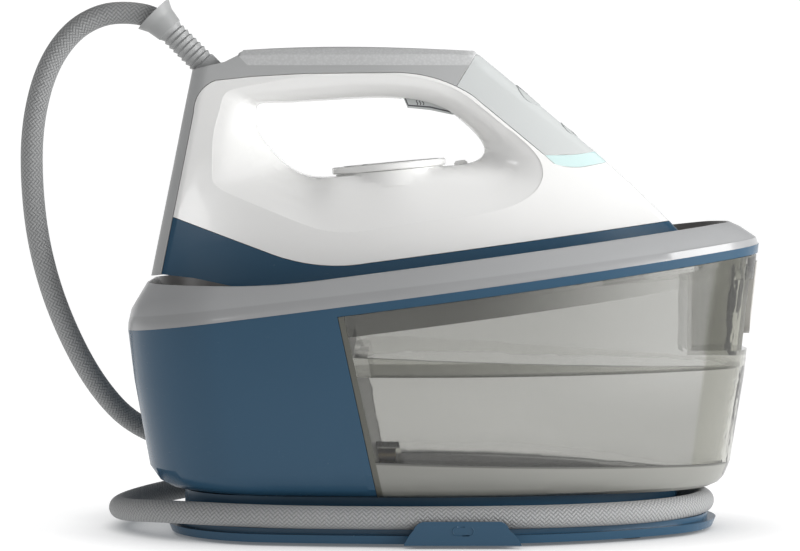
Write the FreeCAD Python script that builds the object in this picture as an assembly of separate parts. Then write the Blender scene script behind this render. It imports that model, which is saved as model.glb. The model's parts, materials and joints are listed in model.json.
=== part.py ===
import FreeCAD, Part
import math
import os
from FreeCAD import Placement, Rotation, Vector

# Steam generator iron: an iron resting in the tray of its station, with a removable water tank.
# Millimetres. +X points to the nose, +Z up, y = 0 is the plane of symmetry, z = 0 is the table.
# Plan outlines are boat shapes made of tangent arcs; upright forms are lofts between such outlines.

# ---- clearances -------------------------------------------------------------------------------
running_gap = 0.3
pin_clearance = 0.05
seam_gap = 0.15
seat_gap = 0.1

# ---- station body -----------------------------------------------------------------------------
tilt = 7.5
body_floor = 26.5
seam_height = 143.5
band_height = 5.2
body_wall = 3.0
floor_wall = 3.0
body_widest = -20.0
floor_rear = 151.3
floor_front = 159.0
floor_half = 84.0
edge_rounding = 14.0
rear_rounding = 15.0
front_rounding = 6.0
side_rounding = 10.0
rear_flare = 19.9
front_flare = 18.5
side_flare = 16.0
flare_power = 0.65
heel_corner_radius = 64.0
heel_share = 0.94
body_nose_radius = 58.0
reach_above_seam = 36.0

# ---- cutting blocks: how far they run along X, across, up, and past what they cut --------------
overrun = 40.0
block_reach = 260.0
block_half = floor_half + side_rounding + side_flare + overrun
block_top = 260.0

# ---- tank seam and bulkhead -------------------------------------------------------------------
tank_seam_foot = -38.4
tank_seam_lean = 12.1
bulkhead_thickness = 4.0

# ---- tray -------------------------------------------------------------------------------------
rim_height = 15.5
low_rim_rise = 2.8
low_rim_height = seam_height + low_rim_rise
low_rim_blend = 26.0
rim_bevel = 4.0
rim_shoulder = 11.5
tray_floor_drop = 1.5
tray_floor_thickness = 2.5
tray_floor_lip = 2.0
deck_ring_width = 14.0
recess_floor_insets = (18.0, 21.0, 27.0)
recess_top_insets = (15.0, 11.0, 15.0)
recess_top_height = rim_height + 14.0
# Rim profile: height over the deck seam, then how far it is drawn in at the heel, the nose and the sides.
rim_profile = [
    (0.0, 0.5, 0.5, 0.5),
    (rim_bevel, 1.2, 1.4, 1.6),
    (rim_shoulder, 3.8, 10.0, 7.0),
    (rim_height, 6.8, 16.6, 11.0),
    (rim_height + 12.0, 16.0, 38.0, 24.0),
]
pad_rise = 0.4
pad_radius = 9.0
pad_places = {"rest_pad_nose": (95.0, 0.0), "rest_pad_near": (-40.0, -34.0), "rest_pad_far": (-40.0, 34.0)}

# ---- base -------------------------------------------------------------------------------------
foot_radius = 8.0
foot_height = 3.0
foot_places = [(-105.0, -58.0), (-105.0, 58.0), (105.0, -52.0), (105.0, 52.0)]
base_heel_share = 0.93
plate_bottom = 2.0
plate_undercut = 2.0
plate_edge_top = 6.8
plate_top = 9.8
plate_step_inset = 5.0
plate_rear = -161.0
plate_front = 161.0
plate_half = 102.0
plate_corner_radius = 70.0
neck_rear = -151.0
neck_front = 138.0
neck_half = 80.0
neck_widest = -8.0
neck_corner_radius = 46.0
neck_wall = 3.0
tab_centre = 9.4
tab_half_length = 33.0
tab_top = 15.4
tab_face = -107.0
tab_thickness = 2.8

# ---- tank -------------------------------------------------------------------------------------
tank_wall = 3.0
tank_floor_thickness = 4.0
cover_thickness = 3.0
cover_skirt = 12.0
cover_skirt_wall = 2.5
fill_mouth_place = 100.0
fill_mouth_length = 26.0
fill_mouth_half_width = 22.0
baffle_drop = 47.5
baffle_level = seam_height - baffle_drop
baffle_rear_height = 12.0
baffle_slope = 2.6
baffle_width = 8.0
baffle_rear = -70.0
baffle_front = 200.0
pocket_depth = 40.0
pocket_half_width = 25.0
pocket_drop = 37.5
pocket_floor = seam_height - pocket_drop
pocket_wall = 2.5
pocket_shoulder_depth = 14.0
pocket_shoulder_drop = 10.0
flap_half_width = 15.0
flap_thickness = 3.5
flap_drop = 28.9
flap_rise = 14.0
flap_bottom = seam_height - flap_drop
flap_top = seam_height + flap_rise
flap_pin_radius = 1.5
flap_pin_drop = 4.0
flap_pin_setback = 6.0
flap_pin_reach = 4.0
flap_barrel_radius = 3.2
valve_height = 40.0
valve_radius = 8.0
valve_length = 16.0
nipple_radius = 4.0
nipple_length = 26.0

# ---- iron, in its own frame: heel foot at x = 0, sole face at z = 0 ------------------------------
iron_setback = -167.94
heel_lean = 0.326
heel_foot_height = 28.0
nose_tip = 319.0
nose_lean = 0.72
nose_curve = 0.0011
top_slope = 0.1286
sole_thickness = 3.2
sole_rear = 88.0
sole_inset = 1.2
sole_hole_radius = 1.5
sole_hole_pitch = 30.0
sole_hole_rows = 5
sole_hole_margin = 13.0
cavity_wall = 3.5
cavity_setback = 5.0
cavity_top = 34.0
casting_top = 17.0
chamber_cover_thickness = 2.0
steam_tube_radius = 4.0
steam_tube_bore = 2.5
steam_tube_place = (185.0, 14.0)
sole_heel_rounding = 14.0
sole_edge_height = 1.2
sole_edge_bevel = 1.2
casting_inset = 3.0
casting_wall = 9.0
casting_floor = 3.0
rib_half_width = 5.0
rib_setback = 30.0
rib_front = 250.0
thermostat_place = 140.0
thermostat_radius = 9.0
thermostat_height = 6.0
thermostat_tab = (4.0, 1.0, 11.0)
thermostat_tab_offset = 6.0
inlay_depth = 8.0
inlay_widest = 135.6
inlay_rear = 68.0
inlay_front = 216.0
inlay_end_slant = 3.0
facet_start = (205.0, 132.2)
facet_end = (273.0, 58.4)
dial_radius = 33.7
dial_thickness = 4.0
dial_centre = (145.0, 70.3)
dial_tilt = 2.3
dial_seat_radius = 31.5
dial_seat_foot_radius = 36.0
dial_seat_height = 9.0
dial_chamfer = 0.7
dial_rim_width = 6.0
dial_dish_depth = 0.6
spindle_radius = 4.0
spindle_length = 18.0
pointer_rear = 183.4
pointer_length = 7.8
pointer_top = 70.5
pointer_half_width = 3.0
pointer_root = 8.0
steam_button_radius = 9.5
steam_button_place = 0.396
power_button_radius = 6.5
power_button_place = 0.709
button_rise = 0.4
button_travel = 1.2
panel_thickness = 6.0
panel_pocket_depth = 9.0
panel_pocket_half_width = 11.0
panel_pocket_start = 24.0
panel_pocket_end = 80.0
key_flange = 1.4
key_flange_thickness = 1.3
trigger_half_width = 8.0
trigger_pin_radius = 1.5
trigger_pivot = (188.0, 104.5)
trigger_swing = 6.0
trigger_pin_half_length = 12.0
trigger_points = [
    (158.5, 112.5), (160.5, 105.2), (173.4, 102.2), (186.5, 97.6), (191.5, 101.0), (191.8, 106.8),
    (180.0, 112.0), (165.0, 114.5),
]
trigger_pocket_points = [
    (157.6, 95.0), (157.6, 121.8), (173.0, 121.8), (173.0, 117.4), (186.0, 112.6), (192.4, 108.4),
    (192.4, 95.0),
]
switch_start = (159.0, 117.6)
switch_end = (172.0, 121.8)
switch_half_width = 5.0
board_thickness = 1.6
key_switch_radius = 3.0

# Height at the widest place, half width, slope of the outline's plane, trim at the heel, trim at the bow.
iron_levels = [
    (0.0, 57.0, 0.0, 0.0, 0.0),
    (20.0, 54.3, 0.0, 0.0, 0.0),
    (42.0, 47.8, 0.0, 0.0, 0.0),
    (64.0, 40.0, 0.0, 0.0, 0.6),
    (88.0, 31.0, 0.02, 0.0, 1.4),
    (112.0, 24.0, 0.08, 0.0, 1.2),
    (132.0, 20.0, top_slope, 0.3, 0.5),
    (138.6, 16.8, top_slope, 1.4, 0.0),
    (141.2, 11.5, top_slope, 3.2, 0.8),
]
widest_share_low = 0.36
widest_share_rise = 0.0016
heel_width_share = 0.82
heel_rounding = 12.0
nose_rounding = 9.0
nose_rounding_rise = 0.035

# Finger opening as seen from the side: a point of its edge, the point of the flank's crease that belongs
# to it, the half width where the scoop starts, and how round its roll is.
saddle_points = [
    (77.6, 118.8, 62.0, 129.2, 6.0, 1.0),
    (116.6, 115.6, 112.0, 130.9, 6.0, 1.0),
    (156.7, 111.1, 158.5, 124.4, 6.0, 1.0),
    (180.0, 102.6, 190.5, 111.2, 6.0, 1.0),
    (193.5, 90.6, 211.0, 91.4, 6.0, 0.9),
    (202.2, 75.8, 231.5, 67.8, 7.0, 0.6),
    (198.0, 69.6, 232.8, 54.0, 9.0, 0.3),
    (179.7, 68.2, 211.0, 40.6, 19.0, 0.0),
    (145.0, 69.5, 154.0, 38.6, 27.0, 0.0),
    (110.7, 70.8, 105.5, 40.6, 26.0, 0.0),
    (97.4, 73.2, 77.0, 54.6, 19.0, 0.0),
    (86.8, 80.0, 48.6, 71.0, 12.0, 0.1),
    (77.1, 92.2, 43.0, 83.0, 9.0, 0.3),
    (71.0, 107.0, 46.5, 105.0, 7.0, 0.6),
    (72.0, 116.0, 52.5, 120.5, 6.0, 0.8),
]
saddle_parts = 2
saddle_runs = [0.0, 0.31, 0.59, 0.81, 0.95, 1.0]
saddle_end = 62.0
scoop_power = 1.5
crease_step = 0.25

# Cuts at the heel as seen from the side: the seat of the hose boot, and the slope under the heel.
hose_seat_points = [
    (-30.0, 138.8), (36.0, 143.4), (58.0, 145.7), (69.0, 149.6), (69.0, 175.0), (-30.0, 175.0),
]
heel_cut_points = [
    (-80.0, -60.0), (84.0, -60.0), (84.0, sole_thickness), (47.5, 16.3), (25.6, 23.8),
    (8.0, heel_foot_height), (-80.0, heel_foot_height),
]

# Seams of the outer pieces as seen from the side.
skirt_zone_points = [
    (-60.0, -20.0), (380.0, -20.0), (380.0, 19.0), (125.0, 19.4), ("arc", (97.0, 22.2), (72.0, 31.4)),
    (-60.0, 100.0),
]
white_zone_points = [
    (-11.9, -30.0), (36.5, 119.2), ("arc", (41.5, 129.8), (51.5, 135.4)), (73.6, 134.8), (103.6, 132.5),
    (158.7, 125.8), ("arc", (181.0, 118.8), (198.7, 107.3)), (236.0, 67.3), (241.2, 61.2),
    ("arc", (249.5, 58.4), (259.0, 57.4)), (273.0, 58.1), (380.0, 64.0), (380.0, -30.0),
]
band_zone_points = [
    (225.0, 50.0), (225.0, 68.6), (242.0, 66.4), ("arc", (256.0, 65.2), (270.0, 65.6)), (380.0, 70.0),
    (380.0, 50.0),
]
panel_zone_points = [
    (190.0, 113.0), (207.4, 134.6), (240.0, 175.0), (400.0, 175.0), (400.0, 20.0), (190.0, 20.0),
]

# ---- inside the rear housing --------------------------------------------------------------------
boiler_lift = 12.5
boiler_room = 22.5
boiler_radius = (seam_height - body_floor) / 2 - boiler_room
boiler_centre = (-118.0, 0.0, body_floor + floor_wall + boiler_lift + boiler_radius)
boiler_half_length = 44.0
boiler_end_cone = 10.0
heater_band_thickness = 3.0
heater_band_width = 24.0
cradle_thickness = 6.0
cradle_offset = 30.0
cradle_half_width = 24.0
pump_radius = 15.0
pump_length = 54.0
pump_centre = (-96.0, 68.0, 50.0)
pump_stub_radius = 4.0
pump_stub_reach = 10.0
pump_bracket_half = (12.0, 10.0)
valve_block = (22.0, 22.0, 26.0)
valve_place = (-126.0, -58.0)
coil_radius = 12.0
coil_height = 26.0
coil_cap_height = 5.0
board_size = (56.0, 1.6, 46.0)
board_place = (-84.0, -62.0)
relay_size = (20.0, 13.2, 16.0)
relay_lift = 8.0
capacitor_radius = 6.0
capacitor_length = 12.0
capacitor_place = (14.0, 26.0)

# ---- mains inlet and hose gland ---------------------------------------------------------------
mains_inlet_radius = 7.0
mains_inlet_place = (-148.0, 66.0, 50.0)
mains_inlet_heading = 128.0
mains_inlet_length = 70.0
mains_inlet_depth = 6.0
mains_collar_width = 2.5
mains_collar_height = 3.0
mains_lead_radius = 4.0
gland_radius = 7.3
gland_mouth_radius = 7.0
gland_mouth = (-69.9, neck_half + 5.3, plate_top + 8.1)
gland_heading = 155.0
gland_length = 32.0
gland_cone_length = 10.0
gland_lead = 14.0

# ---- hose -------------------------------------------------------------------------------------
hose_radius = 6.5
boot_base = (46.3, 144.4)
boot_axis = 127.5
boot_radius = 7.75
boot_root = 9.0
boot_neck_length = 30.8
boot_bell_length = 13.4
boot_bell_radius = 12.5
boot_neck_radius = 8.3
boot_first_rib = 3.0
boot_ribs = 8
boot_rib_pitch = 3.4
boot_rib_depth = 1.1
hose_straight = 10.0
hose_split_run = 9
arc_share = 0.45
# Middle of the hose between its boot and its gland: behind the station, then once round the base.
hose_points = [
    (-184.0, 0.0, 303.8), (-202.0, 0.0, 302.6), (-220.0, 0.0, 292.0), (-234.5, 0.0, 270.0),
    (-242.5, 0.0, 238.0), (-243.3, 1.0, 203.0), (-239.5, 5.0, 165.0), (-229.0, 15.0, 125.0),
    (-210.6, 38.0, 82.0), (-188.0, 72.0, 51.5), (-150.0, 101.0, 37.5), (-100.0, 107.0, 29.0),
    (-46.0, 101.5, 19.0), (9.0, 99.5, 16.4), (66.0, 90.0, 16.4), (119.0, 64.5, 16.4),
    (153.5, 22.0, 16.4), (153.5, -23.0, 16.4), (119.0, -66.0, 16.4), (66.0, -89.0, 16.4),
    (9.0, -96.5, 16.4), (-50.0, -96.2, 16.4), (-108.0, -90.0, 16.6), (-160.0, -66.0, 16.6),
    (-191.5, -23.0, 12.4), (-191.5, 27.0, 11.0), (-171.0, 66.0, 13.2), (-138.0, 91.5, 16.6),
    (-104.0, 98.0, 16.8),
]


# ---- frames -----------------------------------------------------------------------------------
deck_frame_place = Placement(Vector(0, 0, seam_height), Rotation(Vector(0, 1, 0), -tilt))
sole_level = pad_rise + running_gap
iron_place = deck_frame_place.multiply(Placement(Vector(iron_setback, 0, sole_level), Rotation()))


def placed(shape, placement):
    """A copy of the shape moved from a tilted frame into the frame of the whole part."""
    copy = shape.copy()
    copy.Placement = placement.multiply(copy.Placement)
    return copy


# ---- outlines and basic solids ------------------------------------------------------------------
def arc_edge(centre, start, end, lift):
    """Arc of less than half a turn about a centre, given in plan and lifted to its plane."""
    radius = math.hypot(start[0] - centre[0], start[1] - centre[1])
    middle_x = (start[0] + end[0]) / 2 - centre[0]
    middle_y = (start[1] + end[1]) / 2 - centre[1]
    reach = radius / math.hypot(middle_x, middle_y)
    middle = (centre[0] + middle_x * reach, centre[1] + middle_y * reach)
    return Part.Arc(lift(start), lift(middle), lift(end)).toShape()


def boat_outline(rear, front, widest, half, heel_half, heel_radius, nose_radius, height, slope=0.0):
    """Closed plan outline: flat heel, rounded corners, two long side arcs and a round nose, all tangent."""
    flat = heel_half - heel_radius
    front_run = front - nose_radius - widest
    front_radius = (front_run**2 + half**2 - nose_radius**2) / (2 * (half - nose_radius))
    blend = nose_radius / (front_radius - nose_radius)
    nose_join = (front - nose_radius + blend * front_run, -blend * (front_radius - half))
    rear_run = widest - rear - heel_radius
    rear_radius = (rear_run**2 + (half - flat) ** 2 - heel_radius**2) / (2 * (half - heel_half))
    turn = heel_radius / (rear_radius - heel_radius)
    heel_join = (rear + heel_radius - turn * rear_run, -flat - turn * (rear_radius - half + flat))

    def lift(point):
        return Vector(point[0], point[1], height - slope * (point[0] - widest))

    def mirrored(point):
        return (point[0], -point[1])

    widest_point = (widest, -half)
    front_centre = (widest, front_radius - half)
    rear_centre = (widest, rear_radius - half)
    corner_centre = (rear + heel_radius, -flat)
    nose_centre = (front - nose_radius, 0.0)
    corner = (rear, -flat)
    edges = [
        arc_edge(corner_centre, corner, heel_join, lift),
        arc_edge(rear_centre, heel_join, widest_point, lift),
        arc_edge(front_centre, widest_point, nose_join, lift),
        arc_edge(nose_centre, nose_join, mirrored(nose_join), lift),
        arc_edge(mirrored(front_centre), mirrored(nose_join), mirrored(widest_point), lift),
        arc_edge(mirrored(rear_centre), mirrored(widest_point), mirrored(heel_join), lift),
        arc_edge(mirrored(corner_centre), mirrored(heel_join), mirrored(corner), lift),
        Part.LineSegment(lift(mirrored(corner)), lift(corner)).toShape(),
    ]
    return Part.Wire(edges)


def loft(outlines):
    """Closed solid with straight rulings between neighbouring outlines."""
    return Part.makeLoft(outlines, True, True)


def side_wire(points):
    """Closed wire in the XZ plane: a pair is a corner; ("arc", through, end) bends to its end."""
    edges = []
    here = points[0]
    for item in points[1:] + [points[0]]:
        start = Vector(here[0], 0, here[1])
        if item[0] == "arc":
            through = Vector(item[1][0], 0, item[1][1])
            here = item[2]
            edges.append(Part.Arc(start, through, Vector(here[0], 0, here[1])).toShape())
        elif item != here:
            edges.append(Part.LineSegment(start, Vector(item[0], 0, item[1])).toShape())
            here = item
    return Part.Wire(edges)


def side_slab(points, y_from=-block_half, y_to=block_half):
    """Profile in the XZ plane extruded across the part from y_from to y_to."""
    face = Part.Face(side_wire(points))
    face.translate(Vector(0, y_from, 0))
    return face.extrude(Vector(0, y_to - y_from, 0))


def box(x_from, x_to, y_from, y_to, z_from, z_to):
    """Upright box between the given coordinates."""
    return Part.makeBox(x_to - x_from, y_to - y_from, z_to - z_from, Vector(x_from, y_from, z_from))


def whole_box(z_from, z_to):
    """Block across the whole part between two heights."""
    return box(-block_reach, block_reach, -block_half, block_half, z_from, z_to)


def rod(radius, length, foot, direction=Vector(0, 0, 1)):
    """Round bar from its foot along a direction."""
    return Part.makeCylinder(radius, length, foot, direction)


def tube(outer, inner, length, foot, direction=Vector(0, 0, 1)):
    """Round bar with a through bore."""
    return rod(outer, length, foot, direction).cut(rod(inner, length, foot, direction))


def cross_rod(radius, place, half_length):
    """Bar along Y through a point of the XZ plane."""
    return rod(radius, 2 * half_length, Vector(place[0], -half_length, place[1]), Vector(0, 1, 0))


# ---- station body forms ---------------------------------------------------------------------------
def body_sizes(height):
    """Rear end, front end and half width of the station body at a height."""
    lift = max(0.0, height - body_floor)
    rounding = math.sqrt(1 - (1 - min(1.0, lift / edge_rounding)) ** 2)
    flare = (lift / (seam_height - body_floor)) ** flare_power
    rear = -(floor_rear + rear_rounding * rounding + rear_flare * flare)
    front = floor_front + front_rounding * rounding + front_flare * flare
    half = floor_half + side_rounding * rounding + side_flare * flare
    return rear, front, half


def shell_outline(rear, front, half, inset, height):
    """Station plan outline for given ends and half width, drawn in by a wall."""
    return boat_outline(
        rear + inset,
        front - inset,
        body_widest,
        half - inset,
        heel_share * half - inset,
        heel_corner_radius - inset,
        body_nose_radius - inset,
        height,
    )


def body_outline(height, inset=0.0):
    rear, front, half = body_sizes(height)
    return shell_outline(rear, front, half, inset, height)


def body_form(inset=0.0, floor=body_floor):
    """Solid inside the station's outer surface, drawn in by a wall, from a floor to above the deck."""
    if inset:
        steps = [0.12, 0.45, 1.0]
    else:
        steps = [0.0, 0.012, 0.035, 0.09, 0.42, 1.0]
    top = seam_height + reach_above_seam
    heights = [floor + step * (top - floor) for step in steps]
    if inset:
        heights = [floor] + heights[1:]
    return loft([body_outline(height, inset) for height in heights])


def below_deck(drop):
    """Everything under a plane that lies a drop below the deck seam."""
    return placed(whole_box(-block_top, -drop), deck_frame_place)


def deck_slab(low, high):
    return placed(whole_box(low, high), deck_frame_place)


def ahead_of_seam(offset):
    """Everything on the tank's side of the slanted seam, moved ahead by an offset."""
    lean = math.tan(math.radians(tank_seam_lean))
    foot = tank_seam_foot + offset / math.cos(math.radians(tank_seam_lean))
    low, high = body_floor - overrun, block_top

    def seam_x(height):
        return foot - (height - body_floor) * lean

    return side_slab([(seam_x(low), low), (block_reach, low), (block_reach, high), (seam_x(high), high)])


def seam_sizes():
    """Rear end, front end and half width of the body where the tilted deck seam cuts it, along the deck."""
    slope = math.tan(math.radians(tilt))
    rear, front, half = body_sizes(seam_height)
    for _ in range(6):
        rear = body_sizes(seam_height + slope * rear)[0]
        front = body_sizes(seam_height + slope * front)[1]
    stretch = 1 / math.cos(math.radians(tilt))
    return rear * stretch, front * stretch, half


# ---- station ----------------------------------------------------------------------------------------
def make_rear_housing():
    """Blue shell behind the tank, open at its front and top, closed by the bulkhead and the deck."""
    behind = whole_box(0, block_top).cut(ahead_of_seam(-bulkhead_thickness))
    outer = body_form().common(below_deck(band_height)).common(behind)
    inner = body_form(body_wall, body_floor + floor_wall)
    shell = outer.cut(inner)
    shell = shell.cut(mains_bore(mains_inlet_radius + seat_gap))
    return shell


def make_bulkhead():
    """Slanted wall between the housing and the tank, with the bore of the docking nipple."""
    wall = ahead_of_seam(-bulkhead_thickness).cut(ahead_of_seam(0.0))
    wall = wall.common(body_form()).common(below_deck(band_height))
    return wall.cut(nipple_bar(nipple_radius, nipple_length))


def make_deck_frame():
    """Blue band round the top of the station that carries the tray."""
    ring = body_form().common(deck_slab(-band_height, 0.0))
    levels = (-band_height - 1.0, 1.0)
    opening = loft([shell_outline(*seam_sizes(), deck_ring_width, level) for level in levels])
    return ring.cut(placed(opening, deck_frame_place))


def tray_outline(level, rear_in, front_in, side_in):
    rear, front, half = seam_sizes()
    return boat_outline(
        rear + rear_in,
        front - front_in,
        body_widest,
        half - side_in,
        heel_share * half - side_in,
        heel_corner_radius - side_in / 2,
        body_nose_radius - side_in / 2,
        level,
    )


def under_rim_top():
    """All under the rim's top edge: level at the heel, then parallel to the deck, joined by an arc."""
    slope = math.tan(math.radians(tilt))
    rise = seam_height + rim_height / math.cos(math.radians(tilt))
    corner = (low_rim_height - rise) / slope
    half_turn = math.radians(tilt / 2)
    sagitta = low_rim_blend * math.tan(half_turn) * (1 / math.cos(half_turn) - 1) / math.tan(half_turn) ** 2
    blend_end = corner + low_rim_blend * math.cos(math.radians(tilt))
    through = (corner - sagitta * math.sin(half_turn), low_rim_height + sagitta * math.cos(half_turn))
    return side_slab([
        (-block_reach, body_floor),
        (block_reach, body_floor),
        (block_reach, rise + slope * block_reach),
        (blend_end, rise + slope * blend_end),
        ("arc", through, (corner - low_rim_blend, low_rim_height)),
        (-block_reach, low_rim_height),
    ])


def tray_floor_form(gap):
    """Floor plate of the tray, grown by a gap, a little wider than the foot of the sloping walls."""
    insets = [inset - tray_floor_lip - gap for inset in recess_floor_insets]
    low, high = -tray_floor_drop - tray_floor_thickness, -tray_floor_drop
    return loft([tray_outline(low - gap, *insets), tray_outline(high, *insets)])


def make_tray_floor():
    """Heat resistant plate that the iron rests over, let into the rim."""
    return placed(tray_floor_form(0.0), deck_frame_place)


def make_rest_tray():
    """Light grey rim with its bevels and the sloping walls round the iron."""
    outer = placed(loft([tray_outline(*step) for step in rim_profile]), deck_frame_place)
    outer = outer.common(under_rim_top())
    recess = loft([
        tray_outline(-tray_floor_drop, *recess_floor_insets),
        tray_outline(recess_top_height, *recess_top_insets),
    ])
    plug_inset = deck_ring_width + seat_gap
    plug_bottom = -tray_floor_drop - tray_floor_thickness
    plug = loft([shell_outline(*seam_sizes(), plug_inset, level) for level in (plug_bottom, 0.0)])
    ring = outer.fuse(placed(plug, deck_frame_place)).cut(placed(recess, deck_frame_place))
    return ring.cut(placed(tray_floor_form(seat_gap), deck_frame_place))


def make_rest_pads():
    """Heat resistant pads let into the tray floor: one under the nose and a pair under the heel."""
    pads = {}
    for name, (along, across) in pad_places.items():
        foot = Vector(along, across, -tray_floor_drop)
        pads[name] = placed(rod(pad_radius, tray_floor_drop + pad_rise, foot), deck_frame_place)
    return pads


def plate_outline(inset, height):
    return boat_outline(
        plate_rear + inset,
        plate_front - inset,
        0.0,
        plate_half - inset,
        base_heel_share * plate_half - inset,
        plate_corner_radius - inset,
        plate_corner_radius - inset,
        height,
    )


def make_base_plate():
    """Shallow dish with a step for the stored hose and the clip tab at its front edge."""
    dish = loft([plate_outline(plate_undercut, plate_bottom), plate_outline(0.0, plate_edge_top)])
    step = loft([plate_outline(plate_step_inset, level) for level in (plate_edge_top, plate_top)])
    left, right = tab_centre - tab_half_length, tab_centre + tab_half_length
    middle = (plate_bottom + tab_top) / 2
    tab = side_slab([
        (left, plate_bottom),
        (right, plate_bottom),
        ("arc", (right - 3.5, middle - 1.0), (right - 7.0, middle + 2.0)),
        ("arc", (right - 9.0, tab_top - 1.2), (right - 13.0, tab_top)),
        (left + 11.0, tab_top),
        ("arc", (left + 8.0, tab_top - 1.2), (left + 5.5, middle + 2.0)),
        ("arc", (left + 3.0, middle - 1.0), (left, plate_bottom)),
    ], tab_face, tab_face + tab_thickness)
    ledge = box(left + 4, right - 4, tab_face, -plate_half + 14, plate_bottom, plate_edge_top)
    plate = dish.fuse([step, tab, ledge])
    for place in foot_places:
        plate = plate.cut(rod(foot_radius + seat_gap, foot_height, Vector(*place, 0.0)))
    return plate.removeSplitter()


def make_feet():
    feet = {}
    for number, place in enumerate(foot_places, 1):
        disc = rod(foot_radius, foot_height, Vector(*place, 0.0))
        feet["foot_%d" % number] = disc
    return feet


def neck_outline(inset, height):
    return boat_outline(
        neck_rear + inset,
        neck_front - inset,
        neck_widest,
        neck_half - inset,
        base_heel_share * neck_half - inset,
        neck_corner_radius - inset,
        neck_corner_radius - inset,
        height,
    )


def make_base_neck():
    """Waist between the dish and the body, round which the hose is wound."""
    drum = loft([neck_outline(0.0, plate_top), neck_outline(0.0, body_floor)])
    hollow = loft([neck_outline(neck_wall, plate_top), neck_outline(neck_wall, body_floor - neck_wall)])
    drum = drum.cut(hollow)
    step = ahead_of_seam(-bulkhead_thickness).common(whole_box(body_floor - running_gap, block_top))
    drum = drum.cut(step)
    return drum.cut(gland_bar(gland_radius + seat_gap))


def heading(degrees):
    """Level unit vector at an angle from +X."""
    return Vector(math.cos(math.radians(degrees)), math.sin(math.radians(degrees)), 0)


def mains_bore(radius):
    """Bar through the far rear corner of the housing where the mains lead goes in."""
    outward = heading(mains_inlet_heading)
    inner_end = Vector(*mains_inlet_place) - outward * (mains_inlet_length / 2)
    return rod(radius, mains_inlet_length, inner_end, outward)


def gland_bar(radius):
    """Bar along the hose gland, from inside the neck to its mouth."""
    outward = heading(gland_heading)
    return rod(radius, gland_length, Vector(*gland_mouth) - outward * gland_length, outward)


def nipple_bar(radius, length):
    """Bar along X at the docking valve, centred on the bulkhead."""
    lean = math.tan(math.radians(tank_seam_lean))
    centre = tank_seam_foot - (valve_height - body_floor) * lean
    return rod(radius, length, Vector(centre - length / 2, 0, valve_height), Vector(1, 0, 0))


def make_docking_nipple():
    """Tube in the bulkhead that opens the tank's valve when the tank is pushed home."""
    return nipple_bar(nipple_radius, nipple_length).cut(nipple_bar(nipple_radius / 2, nipple_length + 4))


def make_hose_gland():
    """Sleeve in the neck that the hose goes into, tapered towards its mouth."""
    outward = heading(gland_heading)
    mouth = Vector(*gland_mouth)
    join = mouth - outward * gland_cone_length
    body = rod(gland_radius, gland_length - gland_cone_length, mouth - outward * gland_length, outward)
    cone = Part.makeCone(gland_radius, gland_mouth_radius, gland_cone_length, join, outward)
    return body.fuse(cone).removeSplitter()


def make_mains_inlet():
    """Grommet of the mains lead: a sleeve through the wall with a collar outside."""
    sleeve = mains_bore(mains_inlet_radius).common(body_form())
    sleeve = sleeve.cut(body_form(body_wall + mains_inlet_depth))
    collar = mains_bore(mains_inlet_radius + mains_collar_width)
    collar = collar.cut(body_form()).common(body_form(-mains_collar_height))
    return sleeve.fuse(collar).cut(mains_bore(mains_lead_radius))


# ---- inside the rear housing --------------------------------------------------------------------
def housing_floor():
    return body_floor + floor_wall


def make_boiler():
    """Pressure vessel lying across the housing, with coned ends."""
    x, y, z = boiler_centre
    vessel = rod(boiler_radius, 2 * boiler_half_length, Vector(x, -boiler_half_length, z), Vector(0, 1, 0))
    rims = [edge for edge in vessel.Edges if edge.Curve.TypeId == "Part::GeomCircle"]
    return vessel.makeChamfer(boiler_end_cone, rims)


def make_boiler_heater():
    """Heater band clamped round the middle of the vessel."""
    x, y, z = boiler_centre
    foot = Vector(x, -heater_band_width / 2, z)
    outer = boiler_radius + heater_band_thickness
    return tube(outer, boiler_radius, heater_band_width, foot, Vector(0, 1, 0))


def make_boiler_cradle():
    """Two ribs on the floor, hollowed to the vessel's radius."""
    x, y, z = boiler_centre
    ribs = []
    for side in (-1, 1):
        middle = side * cradle_offset
        rib = box(x - cradle_half_width, x + cradle_half_width, middle - cradle_thickness / 2,
                  middle + cradle_thickness / 2, housing_floor(), z - boiler_radius / 2)
        ribs.append(rib.cut(cross_rod(boiler_radius, (x, z), boiler_half_length)))
    return Part.makeCompound(ribs)


def make_pump():
    """Vibration pump on its bracket, with an inlet stub and an outlet stub."""
    x, y, z = pump_centre
    axis = Vector(1, 0, 0)
    rear = x - pump_length / 2
    along, across = pump_bracket_half
    body = rod(pump_radius, pump_length, Vector(rear, y, z), axis)
    stub_foot = Vector(rear - pump_stub_reach, y, z)
    stub = rod(pump_stub_radius, pump_length + 2 * pump_stub_reach, stub_foot, axis)
    bracket = box(x - along, x + along, y - across, y + across, housing_floor(), z)
    return body.fuse([stub, bracket]).removeSplitter()


def make_solenoid_valve():
    """Steam valve: brass block with the coil standing on it."""
    x, y = valve_place
    length, width, height = valve_block
    floor = housing_floor()
    block = box(x - length / 2, x + length / 2, y - width / 2, y + width / 2, floor, floor + height)
    coil = rod(coil_radius, coil_height, Vector(x, y, floor + height))
    cap = rod(coil_radius / 3, coil_cap_height, Vector(x, y, floor + height + coil_height))
    return block.fuse([coil, cap]).removeSplitter()


def make_control_board():
    """Circuit board standing on the floor, with a relay and a capacitor."""
    x, y = board_place
    length, thickness, height = board_size
    floor = housing_floor()
    face = y + thickness / 2
    board = box(x - length / 2, x + length / 2, face - thickness, face, floor, floor + height)
    relay_long, relay_deep, relay_high = relay_size
    foot = floor + relay_lift
    relay = box(x - relay_long, x, face, face + relay_deep, foot, foot + relay_high)
    along, up = capacitor_place
    capacitor = rod(capacitor_radius, capacitor_length, Vector(x + along, face, floor + up), Vector(0, 1, 0))
    return board.fuse([relay, capacitor])


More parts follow.
